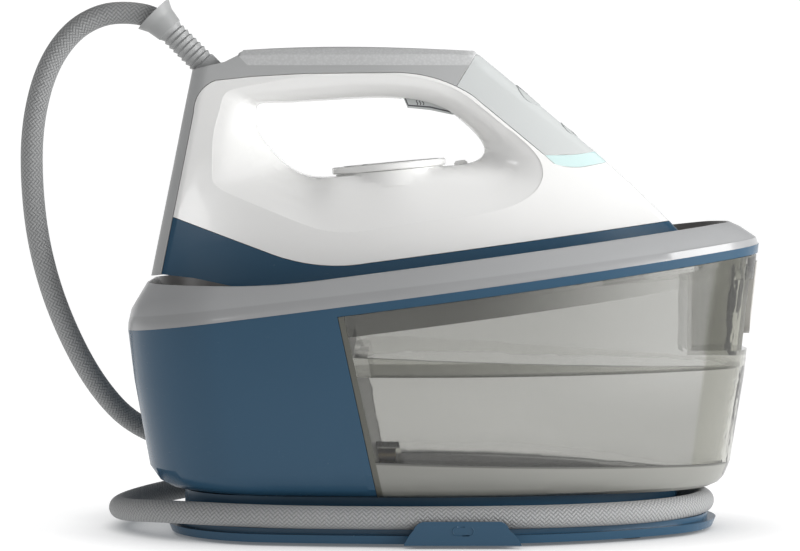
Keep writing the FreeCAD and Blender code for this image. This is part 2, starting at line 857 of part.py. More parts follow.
# ---- tank -------------------------------------------------------------------------------------------
def tank_form(inset, floor, top_drop, rear_inset):
    """Inside or outside form of the tank between the seam, the deck and a floor."""
    form = body_form(inset, floor) if inset else body_form()
    drop = band_height + running_gap + top_drop
    return form.common(below_deck(drop)).common(ahead_of_seam(running_gap + rear_inset))


def pocket_box(wall):
    """Finger pocket in the nose, open to the front and to the top, grown by a wall."""
    front = body_sizes(seam_height)[1]
    half = pocket_half_width + wall
    return box(front - pocket_depth - wall, front + overrun, -half, half, pocket_floor - wall, block_top)


def flap_pin_place():
    height = flap_top - flap_pin_drop
    return (body_sizes(height)[1] - flap_pin_setback, height)


def flap_pin_bar():
    return cross_rod(flap_pin_radius, flap_pin_place(), flap_half_width + flap_pin_reach)


def pocket_shoulders():
    """Blocks either side of the flap's upper end that carry its pin."""
    front = flap_pin_place()[0] + flap_pin_setback
    rear = front - pocket_shoulder_depth
    near, half = flap_half_width + running_gap, pocket_half_width + pocket_wall / 2
    low = flap_top - pocket_shoulder_drop
    block = box(rear, front + overrun, -half, half, low, block_top)
    return block.cut(box(0, block_reach, -near, near, 0, block_top))


def make_tank_shell():
    """Tinted tub, open at its top, with the finger pocket moulded into its nose."""
    outer = tank_form(0.0, body_floor, 0.0, 0.0)
    inner = tank_form(tank_wall, body_floor + tank_floor_thickness, -20.0, tank_wall)
    tub = outer.cut(inner)
    liner = pocket_box(pocket_wall).common(outer)
    tub = tub.fuse(liner).cut(pocket_box(0.0))
    tub = tub.fuse(pocket_shoulders().common(outer))
    return tub.cut([nipple_bar(valve_radius, 2 * overrun), flap_pin_bar()])


def fill_mouth():
    """Upright bar through the mouth that the tank is filled by."""
    rear = fill_mouth_place - fill_mouth_length / 2
    half = fill_mouth_half_width
    return box(rear, rear + fill_mouth_length, -half, half, baffle_level, block_top)


def make_tank_cover():
    """Lid plate in the mouth of the tub, with a skirt along its wall and the mouth for filling."""
    gap = tank_wall + seat_gap
    plate = tank_form(gap, body_floor + 10, 0.0, gap)
    plate = plate.cut(below_deck(band_height + running_gap + cover_thickness))
    skirt = tank_form(gap, body_floor + 10, 0.0, gap)
    skirt = skirt.cut(below_deck(band_height + running_gap + cover_skirt))
    hollow = tank_form(gap + cover_skirt_wall, body_floor + 10, -20.0, gap + cover_skirt_wall)
    cover = plate.fuse(skirt.cut(hollow)).removeSplitter()
    return cover.cut([pocket_box(pocket_wall + seat_gap), fill_mouth()])


def make_tank_baffle():
    """Ledge round the inside of the tub that calms the water, lower towards the nose."""
    gap = tank_wall + seat_gap
    ring = tank_form(gap, body_floor + 10, 0.0, gap)
    ring = ring.cut(tank_form(gap + baffle_width, body_floor + 9, -20.0, gap + baffle_width))
    rear, front = baffle_rear, baffle_front
    drop = math.tan(math.radians(baffle_slope)) * (front - rear)
    zone = side_slab([
        (rear, baffle_level),
        (front, baffle_level),
        (front, baffle_level + baffle_rear_height - drop),
        (rear, baffle_level + baffle_rear_height),
    ])
    return ring.common(zone)


def make_tank_valve():
    """Valve body in the rear wall of the tub, bored for the docking nipple."""
    body = nipple_bar(valve_radius, 2 * overrun).common(ahead_of_seam(running_gap))
    body = body.cut(ahead_of_seam(running_gap + valve_length))
    return body.cut(nipple_bar(nipple_radius + running_gap, 2 * overrun))


def make_tank_flap():
    """Grip flap that continues the nose surface in front of the pocket and hangs on its pin."""
    low, high = body_sizes(flap_bottom)[1], body_sizes(flap_top)[1]
    lean = math.degrees(math.atan2(high - low, flap_top - flap_bottom))
    length = flap_top - flap_bottom + overrun
    foot = Vector(-body_nose_radius, 0, -overrun / 2)
    drum = tube(body_nose_radius, body_nose_radius - flap_thickness, length, foot)
    drum = placed(drum, Placement(Vector(low, 0, flap_bottom), Rotation(Vector(0, 1, 0), lean)))
    half = flap_half_width
    bottom = flap_bottom + half
    rear = low - overrun
    strip = box(rear, block_reach, -half, half, bottom, flap_top)
    strip = strip.fuse(rod(half, block_reach - rear, Vector(rear, 0, bottom), Vector(1, 0, 0)))
    plate = drum.common(strip)
    barrel = cross_rod(flap_barrel_radius, flap_pin_place(), half)
    return plate.fuse(barrel).cut(cross_rod(flap_pin_radius + pin_clearance, flap_pin_place(), half + 5))


# ---- iron: outer form -----------------------------------------------------------------------------
def nose_x(height):
    return nose_tip - nose_lean * height - nose_curve * height * height


def heel_x(height):
    return heel_lean * (height - heel_foot_height)


def iron_outline(level, inset=0.0):
    """Outline of the iron at one level, in a plane that follows the slope of the handle's top."""
    height, half, slope, heel_trim, bow_trim = level
    share = widest_share_low + widest_share_rise * height
    rear, front = heel_x(height), nose_x(height)
    for _ in range(4):
        widest = rear + (front - rear) * share
        rear = heel_x(height - slope * (rear - widest))
        front = nose_x(height - slope * (front - widest))
    half_in = half - inset
    heel_half = heel_width_share * half_in
    return boat_outline(
        rear + heel_trim + inset,
        front - bow_trim - inset * 1.3,
        widest,
        half_in,
        heel_half,
        min(heel_rounding, 0.7 * heel_half),
        min(nose_rounding + nose_rounding_rise * height, 0.7 * half_in),
        height,
        slope,
    )


def closed_spline(points, steps):
    """Smooth closed curve through points at given parameters."""
    curve = Part.BSplineCurve()
    curve.interpolate(Points=points, PeriodicFlag=True, Parameters=steps)
    return curve


def opening_steps():
    """Curve parameters of the opening's points, spaced with their distances."""
    corners = [point[:2] for point in saddle_points]
    steps = [0.0]
    for here, there in zip(corners, corners[1:] + corners[:1]):
        steps.append(steps[-1] + math.sqrt(math.dist(here, there)))
    return steps


def flank_half(hull, place):
    """Half width of the hull at a place seen from the side."""
    ray = Part.LineSegment(Vector(place.x, 0, place.z), Vector(place.x, block_half, place.z)).toShape()
    return hull.common(ray).Length


def saddle_ring(hull):
    """Parameters of the ring's places, and for each its two points, start, reach and roundness."""
    steps = opening_steps()
    near_curve = closed_spline([Vector(point[0], 0, point[1]) for point in saddle_points], steps)
    far_curve = closed_spline([Vector(point[2], 0, point[3]) for point in saddle_points], steps)
    ring_steps, ring = [], []
    for number, point in enumerate(saddle_points):
        following = saddle_points[(number + 1) % len(saddle_points)]
        for part in range(saddle_parts):
            share = part / saddle_parts
            step = steps[number] + share * (steps[number + 1] - steps[number])
            far = far_curve.value(step)
            start = point[4] + share * (following[4] - point[4])
            roundness = point[5] + share * (following[5] - point[5])
            reach = flank_half(hull, far) - crease_step
            ring_steps.append(step)
            ring.append((near_curve.value(step), far, start, reach, roundness))
    return ring_steps + [steps[-1]], ring


def scoop_share(run, roundness):
    """Share of the way from the opening to the crease at a share of the run across."""
    return roundness * (1 - math.sqrt(1 - run * run)) + (1 - roundness) * run**scoop_power


def saddle_outline(side, run, ring_steps, ring):
    """Closed curve round the scoop of one side at a share of the run from its start to the crease."""
    places = []
    for near, far, start, reach, roundness in ring:
        place = near + (far - near) * scoop_share(run, roundness)
        places.append(Vector(place.x, side * (start + run * (reach - start)), place.z))
    return Part.Wire([closed_spline(places, ring_steps).toShape()])


def crease_outline(side, ring_steps, ring):
    """The crease as seen from the side, outside the flank."""
    places = [Vector(far.x, side * saddle_end, far.z) for near, far, *roll in ring]
    return Part.Wire([closed_spline(places, ring_steps).toShape()])


def make_saddle(hull):
    """Solid of the finger opening with the scooped flanks on both of its sides."""
    ring_steps, ring = saddle_ring(hull)
    far_side = [saddle_outline(1, run, ring_steps, ring) for run in saddle_runs]
    near_side = [saddle_outline(-1, run, ring_steps, ring) for run in reversed(saddle_runs)]
    ends = [crease_outline(side, ring_steps, ring) for side in (-1, 1)]
    return loft([ends[0]] + near_side + far_side + [ends[1]])


def level_at(height):
    """Sizes of the iron's outline between two of its levels."""
    for low, high in zip(iron_levels, iron_levels[1:]):
        if low[0] <= height <= high[0]:
            share = (height - low[0]) / (high[0] - low[0])
            return tuple(a + (b - a) * share for a, b in zip(low, high))
    raise ValueError("no outline at height %s" % height)


def make_iron_form():
    """Whole outer form of the iron: hull, hose seat at the heel, saddle and dial seat."""
    hull = loft([iron_outline(level) for level in iron_levels])
    form = hull.cut([side_slab(hose_seat_points), side_slab(heel_cut_points), make_saddle(hull)])
    foot = Vector(0, 0, -dial_seat_height)
    seat = Part.makeCone(dial_seat_foot_radius, dial_seat_radius, dial_seat_height, foot)
    return form.fuse(placed(seat, dial_place()))


def dial_place():
    """Placement with its origin on the dial's seat and Z along the dial's axis."""
    return Placement(Vector(dial_centre[0], 0, dial_centre[1]), Rotation(Vector(0, 1, 0), dial_tilt))


def panel_place():
    """Placement with its origin at the facet's upper end, X down the facet and Z out of it."""
    angle = math.degrees(math.atan2(facet_start[1] - facet_end[1], facet_end[0] - facet_start[0]))
    return Placement(Vector(facet_start[0], 0, facet_start[1]), Rotation(Vector(0, 1, 0), angle))


def facet_length():
    return math.dist(facet_start, facet_end)


# ---- iron: zones of the outer pieces, seen from the side -----------------------------------------------
def zone(points, grow=0.0):
    """Profile extruded across the iron, grown by an amount to leave a seam."""
    face = Part.Face(side_wire(points))
    if grow:
        face = face.makeOffset2D(grow)
    face.translate(Vector(0, -block_half, 0))
    return face.extrude(Vector(0, 2 * block_half, 0))


def inlay_zone_points():
    """Zone above a line that runs parallel to the handle's top."""
    level = iron_levels[-1]

    def under_top(x):
        return level[0] - top_slope * (x - inlay_widest) - inlay_depth

    slant_top = inlay_rear - inlay_end_slant
    return [
        (inlay_rear + inlay_end_slant, under_top(inlay_rear)), (inlay_front, under_top(inlay_front)),
        (inlay_front, block_top), (slant_top, block_top), (slant_top, 150.0),
    ]


def heater_cavity():
    """Hollow of the lower body above the soleplate."""
    levels = (level_at(sole_thickness - 1.0), level_at(cavity_top))
    space = loft([iron_outline(level, cavity_wall) for level in levels])
    return space.common(ahead_of_chamber(0.0))


def ahead_of_chamber(inset):
    """Everything ahead of the steam chamber's rear wall, in the iron's own frame."""
    rear = sole_rear + cavity_setback + inset
    return box(rear, 2 * block_reach, -block_half, block_half, -overrun, block_top)


def trigger_pocket():
    """Pocket above the trigger with room for its swing and for the switch."""
    half = trigger_half_width + running_gap + seat_gap
    return side_slab(trigger_pocket_points, -half, half)


def panel_pocket():
    """Space behind the panel for the buttons and their board."""
    half = panel_pocket_half_width
    floor = -panel_pocket_depth - panel_thickness
    space = box(panel_pocket_start, panel_pocket_end, -half, half, floor, -panel_thickness)
    return placed(space, panel_place())


def spindle_bar(radius, low, high):
    """Round bar along the dial's axis."""
    return placed(rod(radius, high - low, Vector(0, 0, low)), dial_place())


def button_bar(place, radius, low=-panel_thickness - 1.0, high=overrun):
    """Round bar through the panel at a share of the facet's length."""
    return placed(rod(radius, high - low, Vector(place * facet_length(), 0, low)), panel_place())


def boot_bar(radius, start, end):
    """Round bar along the boot's axis."""
    angle = math.radians(boot_axis)
    axis = Vector(math.cos(angle), 0, math.sin(angle))
    foot = Vector(boot_base[0], 0, boot_base[1]) + axis * start
    return rod(radius, end - start, foot, axis)


def iron_hollows():
    """Every space that the iron's outer pieces leave free."""
    return [
        heater_cavity(),
        trigger_pocket(),
        panel_pocket(),
        button_bar(steam_button_place, steam_button_radius + running_gap),
        button_bar(power_button_place, power_button_radius + running_gap),
        boot_bar(boot_radius + seat_gap, -boot_root - seat_gap, overrun),
        spindle_bar(spindle_radius + pin_clearance, -spindle_length - 1.0, 0.0),
        cross_rod(trigger_pin_radius, trigger_pivot, trigger_pin_half_length),
    ]


def make_outer_pieces(form):
    """White shell, blue skirt, grey frame, grip inlay, panel and light band, cut along their seams."""
    form = form.cut(iron_hollows())
    seam = 2 * seam_gap
    above_sole = box(-block_reach, 2 * block_reach, -block_half, block_half, sole_thickness, block_top)
    inside = form.common(zone(white_zone_points))
    skirt = inside.common(zone(skirt_zone_points)).common(above_sole)
    shell = inside.cut(zone(skirt_zone_points, seam))
    grey = form.cut(zone(white_zone_points, seam))
    band = grey.common(zone(band_zone_points))
    grey = grey.cut(zone(band_zone_points, seam))
    panel = grey.common(zone(panel_zone_points))
    grey = grey.cut(zone(panel_zone_points, seam))
    inlay = grey.common(zone(inlay_zone_points()))
    frame = grey.cut(zone(inlay_zone_points()))
    return {
        "iron_skirt": skirt,
        "iron_body_shell": shell,
        "light_band": band,
        "control_panel": panel,
        "grip_inlay": inlay,
        "handle_frame": frame,
    }


# ---- iron: separate pieces --------------------------------------------------------------------------
def sole_outline(inset, height):
    """Sole plan: the iron's own sides and nose with a rounded rear end behind the steam chamber."""
    level = iron_levels[0]
    widest = heel_x(0) + (nose_x(0) - heel_x(0)) * widest_share_low
    half = level[1] - inset
    return boat_outline(
        sole_rear,
        nose_x(0) - inset * 1.3,
        widest,
        half,
        0.97 * half,
        sole_heel_rounding,
        nose_rounding - inset / 2,
        height,
    )


def sole_half_at(x):
    """Half width of the sole at a place ahead of its widest point."""
    widest = heel_x(0) + (nose_x(0) - heel_x(0)) * widest_share_low
    half = iron_levels[0][1] - sole_inset
    run = nose_x(0) - nose_rounding - widest
    radius = (run**2 + half**2 - nose_rounding**2) / (2 * (half - nose_rounding))
    return half - radius + math.sqrt(radius**2 - (x - widest) ** 2)


def make_soleplate():
    """Polished plate with a row of steam holes along either side."""
    edge = sole_outline(sole_inset, sole_edge_height)
    plate = loft([sole_outline(sole_inset + sole_edge_bevel, 0.0), edge])
    plate = plate.fuse(loft([edge, sole_outline(sole_inset, sole_thickness)]))
    holes = []
    for row in range(sole_hole_rows):
        x = nose_tip - 40.0 - row * sole_hole_pitch
        across = sole_half_at(x) - sole_hole_margin
        for side in (-1, 1):
            holes.append(rod(sole_hole_radius, sole_thickness + 2, Vector(x, side * across, -1)))
    return plate.removeSplitter().cut(holes)


def chamber_solid(inset, low, high):
    """Block inside the heater cavity between two heights."""
    gap = cavity_wall + inset
    block = loft([iron_outline(level_at(height), gap) for height in (low, high)])
    return block.common(ahead_of_chamber(inset))


def make_heater_casting():
    """Cast block on the sole: walls round the steam chamber with a centre rib."""
    block = chamber_solid(casting_inset, sole_thickness, casting_top)
    chamber = chamber_solid(casting_inset + casting_wall, sole_thickness + casting_floor, casting_top + 1)
    half = rib_half_width
    rib = box(sole_rear + rib_setback, rib_front, -half, half, sole_thickness, casting_top)
    return block.cut(chamber).fuse(rib.common(block))


def make_chamber_cover():
    return chamber_solid(casting_inset, casting_top, casting_top + chamber_cover_thickness)


def make_sole_thermostat():
    """Thermal cut-out on the chamber cover with its two tabs."""
    level = casting_top + chamber_cover_thickness
    disc = rod(thermostat_radius, thermostat_height, Vector(thermostat_place, 0, level))
    long, thick, high = thermostat_tab
    rear = thermostat_place - long / 2
    tabs = []
    for middle in (-thermostat_tab_offset, thermostat_tab_offset):
        tabs.append(box(rear, rear + long, middle - thick / 2, middle + thick / 2, level, level + high))
    return disc.fuse(tabs)


def make_steam_tube():
    """Tube that brings the steam from the handle down to the chamber."""
    level = casting_top + chamber_cover_thickness
    return tube(steam_tube_radius, steam_tube_bore, cavity_top - level, Vector(*steam_tube_place, level))


def make_dial():
    """Temperature dial: a thin disc with a chamfered rim and a shallow dished top."""
    disc = rod(dial_radius, dial_thickness, Vector(0, 0, running_gap))
    rims = [edge for edge in disc.Edges if edge.Curve.TypeId == "Part::GeomCircle"]
    disc = disc.makeChamfer(dial_chamfer, rims)
    dish_floor = Vector(0, 0, running_gap + dial_thickness - dial_dish_depth)
    dish = rod(dial_radius - dial_rim_width, dial_thickness, dish_floor)
    return placed(disc.cut(dish), dial_place())


def make_dial_spindle():
    return spindle_bar(spindle_radius, -spindle_length, running_gap)


def make_dial_pointer(form):
    """Raised mark on the saddle in front of the dial."""
    front = pointer_rear + pointer_length
    slope = pointer_length / 6
    root = pointer_top - pointer_root
    mark = side_slab([
        (pointer_rear, root),
        (front, root),
        (front, pointer_top - slope),
        (front - slope, pointer_top),
        (pointer_rear + slope, pointer_top),
        (pointer_rear, pointer_top - slope),
    ], -pointer_half_width, pointer_half_width)
    return mark.cut(form)


def make_trigger():
    """Steam trigger under the front of the handle, hollowed where its pin goes through."""
    blade = side_slab(trigger_points, -trigger_half_width, trigger_half_width)
    return blade.cut(cross_rod(trigger_pin_radius + pin_clearance, trigger_pivot, trigger_half_width + 2))


def make_trigger_pin():
    return cross_rod(trigger_pin_radius, trigger_pivot, trigger_pin_half_length)


def make_trigger_switch():
    """Small switch in the roof of the trigger's pocket."""
    low, high = switch_start, switch_end
    return box(low[0], high[0], -switch_half_width, switch_half_width, low[1], high[1])


def make_button(form, place, radius):
    """Round key whose top follows the rounded slope, with a flange behind the panel."""
    raised = form.copy()
    raised.translate(panel_place().Rotation.multVec(Vector(0, 0, button_rise)))
    cap = button_bar(place, radius).common(raised)
    top = -panel_thickness - running_gap
    flange = button_bar(place, radius + key_flange, top - key_flange_thickness, top)
    return cap.fuse(flange).removeSplitter()


def make_panel_board():
    """Circuit board on the floor of the panel's pocket with a switch under each key."""
    floor = -panel_thickness - panel_pocket_depth
    half = panel_pocket_half_width - 1.0
    rear, front = panel_pocket_start + 1.0, panel_pocket_end - 4.0
    board = placed(box(rear, front, -half, half, floor, floor + board_thickness), panel_place())
    top = -panel_thickness - key_flange_thickness - button_travel - 2 * running_gap
    places = (steam_button_place, power_button_place)
    return board.fuse([button_bar(place, key_switch_radius, floor, top) for place in places])


# ---- hose -------------------------------------------------------------------------------------------
def make_hose_boot():
    """Ribbed sleeve that ends in a bell, through which the hose leaves the iron."""
    neck = boot_neck_length
    length = neck + boot_bell_length
    ring = boot_neck_radius
    profile = [(0.0, -boot_root), (boot_radius, -boot_root), (boot_radius, boot_first_rib)]
    for number in range(boot_ribs):
        start = boot_first_rib + number * boot_rib_pitch
        profile.append((boot_radius - boot_rib_depth, start + boot_rib_pitch * 0.3))
        profile.append((boot_radius, start + boot_rib_pitch))
    profile += [
        (ring, neck),
        (ring + (boot_bell_radius - ring) * 0.35, neck + boot_bell_length * 0.6),
        (boot_bell_radius, length),
        (boot_bell_radius - 1.2, length),
        (hose_radius + 1.6, neck + boot_bell_length * 0.5),
        (hose_radius + running_gap, neck),
        (0.0, neck),
    ]
    corners = [Vector(radius, 0, along) for radius, along in profile]
    edges = [Part.LineSegment(a, b).toShape() for a, b in zip(corners, corners[1:] + corners[:1])]
    solid = Part.Face(Part.Wire(edges)).revolve(Vector(0, 0, 0), Vector(0, 0, 1), 360)
    turn = Placement(Vector(boot_base[0], 0, boot_base[1]), Rotation(Vector(0, 1, 0), 90 - boot_axis))
    return placed(solid, turn)


def boot_point(along):
    """Point on the boot's axis at a distance from its base, in the frame of the whole part."""
    angle = math.radians(boot_axis)
    x, z = boot_base[0] + along * math.cos(angle), boot_base[1] + along * math.sin(angle)
    return iron_place.multVec(Vector(x, 0, z))


def hose_edges():
    """Straight runs of the hose joined by tangent arcs, their radii, and the edge where it is cut in two."""
    leaving = [boot_point(boot_neck_length), boot_point(boot_neck_length + hose_straight)]
    mouth = Vector(*gland_mouth)
    entering = [mouth + heading(gland_heading) * gland_lead, mouth]
    points = leaving + [Vector(*point) for point in hose_points] + entering
    runs = [(b - a).Length for a, b in zip(points, points[1:])]
    edges, radii, cut = [], [], 0
    here = points[0]
    for number in range(1, len(points) - 1):
        before = (points[number - 1] - points[number]).normalize()
        after = (points[number + 1] - points[number]).normalize()
        half_turn = (math.pi - before.getAngle(after)) / 2
        setback = min(arc_share, 0.49) * min(runs[number - 1], runs[number])
        radius = setback / math.tan(half_turn)
        start = points[number] + before * setback
        end = points[number] + after * setback
        bisector = (before + after).normalize()
        middle = points[number] + bisector * (radius / math.cos(half_turn) - radius)
        if number - 1 == hose_split_run:
            split = (here + start) * 0.5
            edges.append(Part.LineSegment(here, split).toShape())
            cut = len(edges)
            here = split
        edges.append(Part.LineSegment(here, start).toShape())
        edges.append(Part.Arc(start, middle, end).toShape())
        radii.append(radius)
        here = end
    edges.append(Part.LineSegment(here, points[-1]).toShape())
    return edges, radii, cut


def hose_tube(edges):
    """Solid hose along its edges."""
    path = Part.Wire(edges)
    start = edges[0].valueAt(edges[0].FirstParameter)
    tangent = edges[0].tangentAt(edges[0].FirstParameter)
    circle = Part.Wire([Part.makeCircle(hose_radius, start, tangent)])
    solid = path.makePipe(Part.Face(circle))
    section = math.pi * hose_radius**2
    print("hose length %.1f, volume over section %.1f" % (path.Length, solid.Volume / section))
    return solid


def make_hoses():
    edges, radii, cut = hose_edges()
    print("hose radii", [round(radius, 1) for radius in radii])
    return {"steam_hose_upper": hose_tube(edges[:cut]), "steam_hose_lower": hose_tube(edges[cut:])}


# ---- all nodes ----------------------------------------------------------------------------------------
def make_station():
    nodes = {
        "base_plate": make_base_plate(),
        "base_neck": make_base_neck(),
        "rear_housing": make_rear_housing(),
        "bulkhead": make_bulkhead(),
        "deck_frame": make_deck_frame(),
        "rest_tray": make_rest_tray(),
        "tray_floor": make_tray_floor(),
        "docking_nipple": make_docking_nipple(),
        "hose_gland": make_hose_gland(),
        "mains_inlet": make_mains_inlet(),
        "boiler": make_boiler(),
        "boiler_heater": make_boiler_heater(),
        "boiler_cradle": make_boiler_cradle(),
        "pump": make_pump(),
        "solenoid_valve": make_solenoid_valve(),
        "control_board": make_control_board(),
    }
    nodes.update(make_feet())
    nodes.update(make_rest_pads())
    return nodes


def make_tank():
    return {
        "tank_shell": make_tank_shell(),
        "tank_cover": make_tank_cover(),
        "tank_baffle": make_tank_baffle(),
        "tank_valve": make_tank_valve(),
        "tank_flap": make_tank_flap(),
        "flap_pin": flap_pin_bar(),
    }


def make_iron():
    form = make_iron_form()
    nodes = make_outer_pieces(form)
    nodes.update({
        "soleplate": make_soleplate(),
        "heater_casting": make_heater_casting(),
        "chamber_cover": make_chamber_cover(),
        "sole_thermostat": make_sole_thermostat(),
        "steam_tube": make_steam_tube(),
        "temperature_dial": make_dial(),
        "dial_spindle": make_dial_spindle(),
        "dial_pointer": make_dial_pointer(form),
        "steam_trigger": make_trigger(),
        "trigger_pin": make_trigger_pin(),
        "trigger_switch": make_trigger_switch(),
        "steam_button": make_button(form, steam_button_place, steam_button_radius),
        "power_button": make_button(form, power_button_place, power_button_radius),
        "panel_board": make_panel_board(),
        "hose_boot": make_hose_boot(),
    })
    return {name: placed(shape, iron_place) for name, shape in nodes.items()}


def main():
    os.makedirs("parts", exist_ok=True)
    nodes = {}
    nodes.update(make_station())
    nodes.update(make_tank())
    nodes.update(make_iron())
    nodes.update(make_hoses())
    for name, shape in nodes.items():
        if not shape.isValid() or not shape.Solids:
            print("check the shape of", name)
        shape.exportStep("parts/%s.step" % name)
    print(len(nodes), "nodes")


main()
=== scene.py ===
"""Steam generator iron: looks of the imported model.

Finishes, smooth skins, the woven steam hose, moulded marks and the studio. All lengths are in metres.
"""

import json
import logging
import math
from dataclasses import dataclass, field
from enum import Enum
from typing import Sequence, Union

import bmesh
import bpy
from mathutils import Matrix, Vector
from mathutils.bvhtree import BVHTree

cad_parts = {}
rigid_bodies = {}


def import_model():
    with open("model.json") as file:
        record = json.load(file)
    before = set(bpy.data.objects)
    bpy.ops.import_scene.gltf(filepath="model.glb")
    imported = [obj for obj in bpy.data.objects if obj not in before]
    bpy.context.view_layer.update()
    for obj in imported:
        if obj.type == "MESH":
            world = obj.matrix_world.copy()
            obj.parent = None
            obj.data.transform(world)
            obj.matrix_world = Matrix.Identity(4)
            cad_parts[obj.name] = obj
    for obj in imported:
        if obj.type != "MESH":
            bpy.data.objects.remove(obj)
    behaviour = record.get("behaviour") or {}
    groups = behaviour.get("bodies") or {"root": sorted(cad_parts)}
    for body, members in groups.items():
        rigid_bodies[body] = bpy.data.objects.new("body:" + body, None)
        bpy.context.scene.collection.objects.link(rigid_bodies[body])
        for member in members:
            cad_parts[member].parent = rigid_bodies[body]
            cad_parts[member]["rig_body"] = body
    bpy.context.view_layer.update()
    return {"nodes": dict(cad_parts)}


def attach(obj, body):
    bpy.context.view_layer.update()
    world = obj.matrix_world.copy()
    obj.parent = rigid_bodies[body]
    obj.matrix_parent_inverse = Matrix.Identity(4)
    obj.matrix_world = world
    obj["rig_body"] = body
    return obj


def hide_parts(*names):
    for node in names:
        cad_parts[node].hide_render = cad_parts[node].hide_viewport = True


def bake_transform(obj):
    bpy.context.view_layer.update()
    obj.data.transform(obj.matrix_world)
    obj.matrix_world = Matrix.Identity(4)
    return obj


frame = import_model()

log = logging.getLogger("steam_iron")

Colour = tuple[float, float, float]
Point = tuple[float, float, float]
Pair = tuple[float, float]
Plane = tuple[Point, Point]
Shape = bmesh.types.BMesh
Corner = bmesh.types.BMVert
Socket = bpy.types.NodeSocket
Value = Union["Signal", Socket, float, int, tuple]

LENGTHWISE: Point = (1.0, 0.0, 0.0)
ACROSS: Point = (0.0, 1.0, 0.0)
UPWARD: Point = (0.0, 0.0, 1.0)
ON_PLANE = 0.000001
SMOOTH_STEP = {"interpolation_type": "SMOOTHSTEP"}


# ---- shader building ----
@dataclass(frozen=True)
class Signal:
    """A shader socket that carries a number; arithmetic on it adds Math nodes."""

    shader: "NodeWork"
    socket: Socket

    def _with(self, operation: str, *values: Value) -> "Signal":
        """Add one Math node for an operation on this signal and other values."""
        return self.shader.math(operation, self, *values)

    def __add__(self, other: Value) -> "Signal":
        """Sum."""
        return self._with("ADD", other)

    __radd__ = __add__

    def __sub__(self, other: Value) -> "Signal":
        """Difference."""
        return self._with("SUBTRACT", other)

    def __rsub__(self, other: Value) -> "Signal":
        """Difference with this signal taken away."""
        return self.shader.math("SUBTRACT", other, self)

    def __mul__(self, other: Value) -> "Signal":
        """Product."""
        return self._with("MULTIPLY", other)

    __rmul__ = __mul__

    def __truediv__(self, other: Value) -> "Signal":
        """Quotient."""
        return self._with("DIVIDE", other)

    def __pow__(self, other: Value) -> "Signal":
        """Power."""
        return self._with("POWER", other)

    def __mod__(self, other: Value) -> "Signal":
        """Remainder that stays positive."""
        return self._with("FLOORED_MODULO", other)

    def __lt__(self, other: Value) -> "Signal":
        """One where this signal is the less, else zero."""
        return self._with("LESS_THAN", other)

    def floor(self) -> "Signal":
        """Whole part."""
        return self._with("FLOOR")

    def size(self) -> "Signal":
        """Absolute value."""
        return self._with("ABSOLUTE")

    def between(self, low: float, high: float) -> "Signal":
        """Smooth step from zero at low to one at high."""
        inputs = {"Value": self, "From Min": low, "From Max": high}
        return self.shader.node("ShaderNodeMapRange", SMOOTH_STEP, inputs).signal("Result")

    def past(self, place: float, blur: float) -> "Signal":
        """Smooth step from zero to one at a place, blurred as far to either side."""
        return self.between(place - blur, place + blur)


@dataclass(frozen=True)
class Placed:
    """A node placed in a shader, with its outputs at hand."""

    shader: "NodeWork"
    item: bpy.types.Node

    def signal(self, name: Union[str, int] = 0) -> Signal:
        """Output that carries a number."""
        return Signal(self.shader, self.item.outputs[name])

    def out(self, name: Union[str, int] = 0) -> Socket:
        """Output of any kind."""
        return self.item.outputs[name]


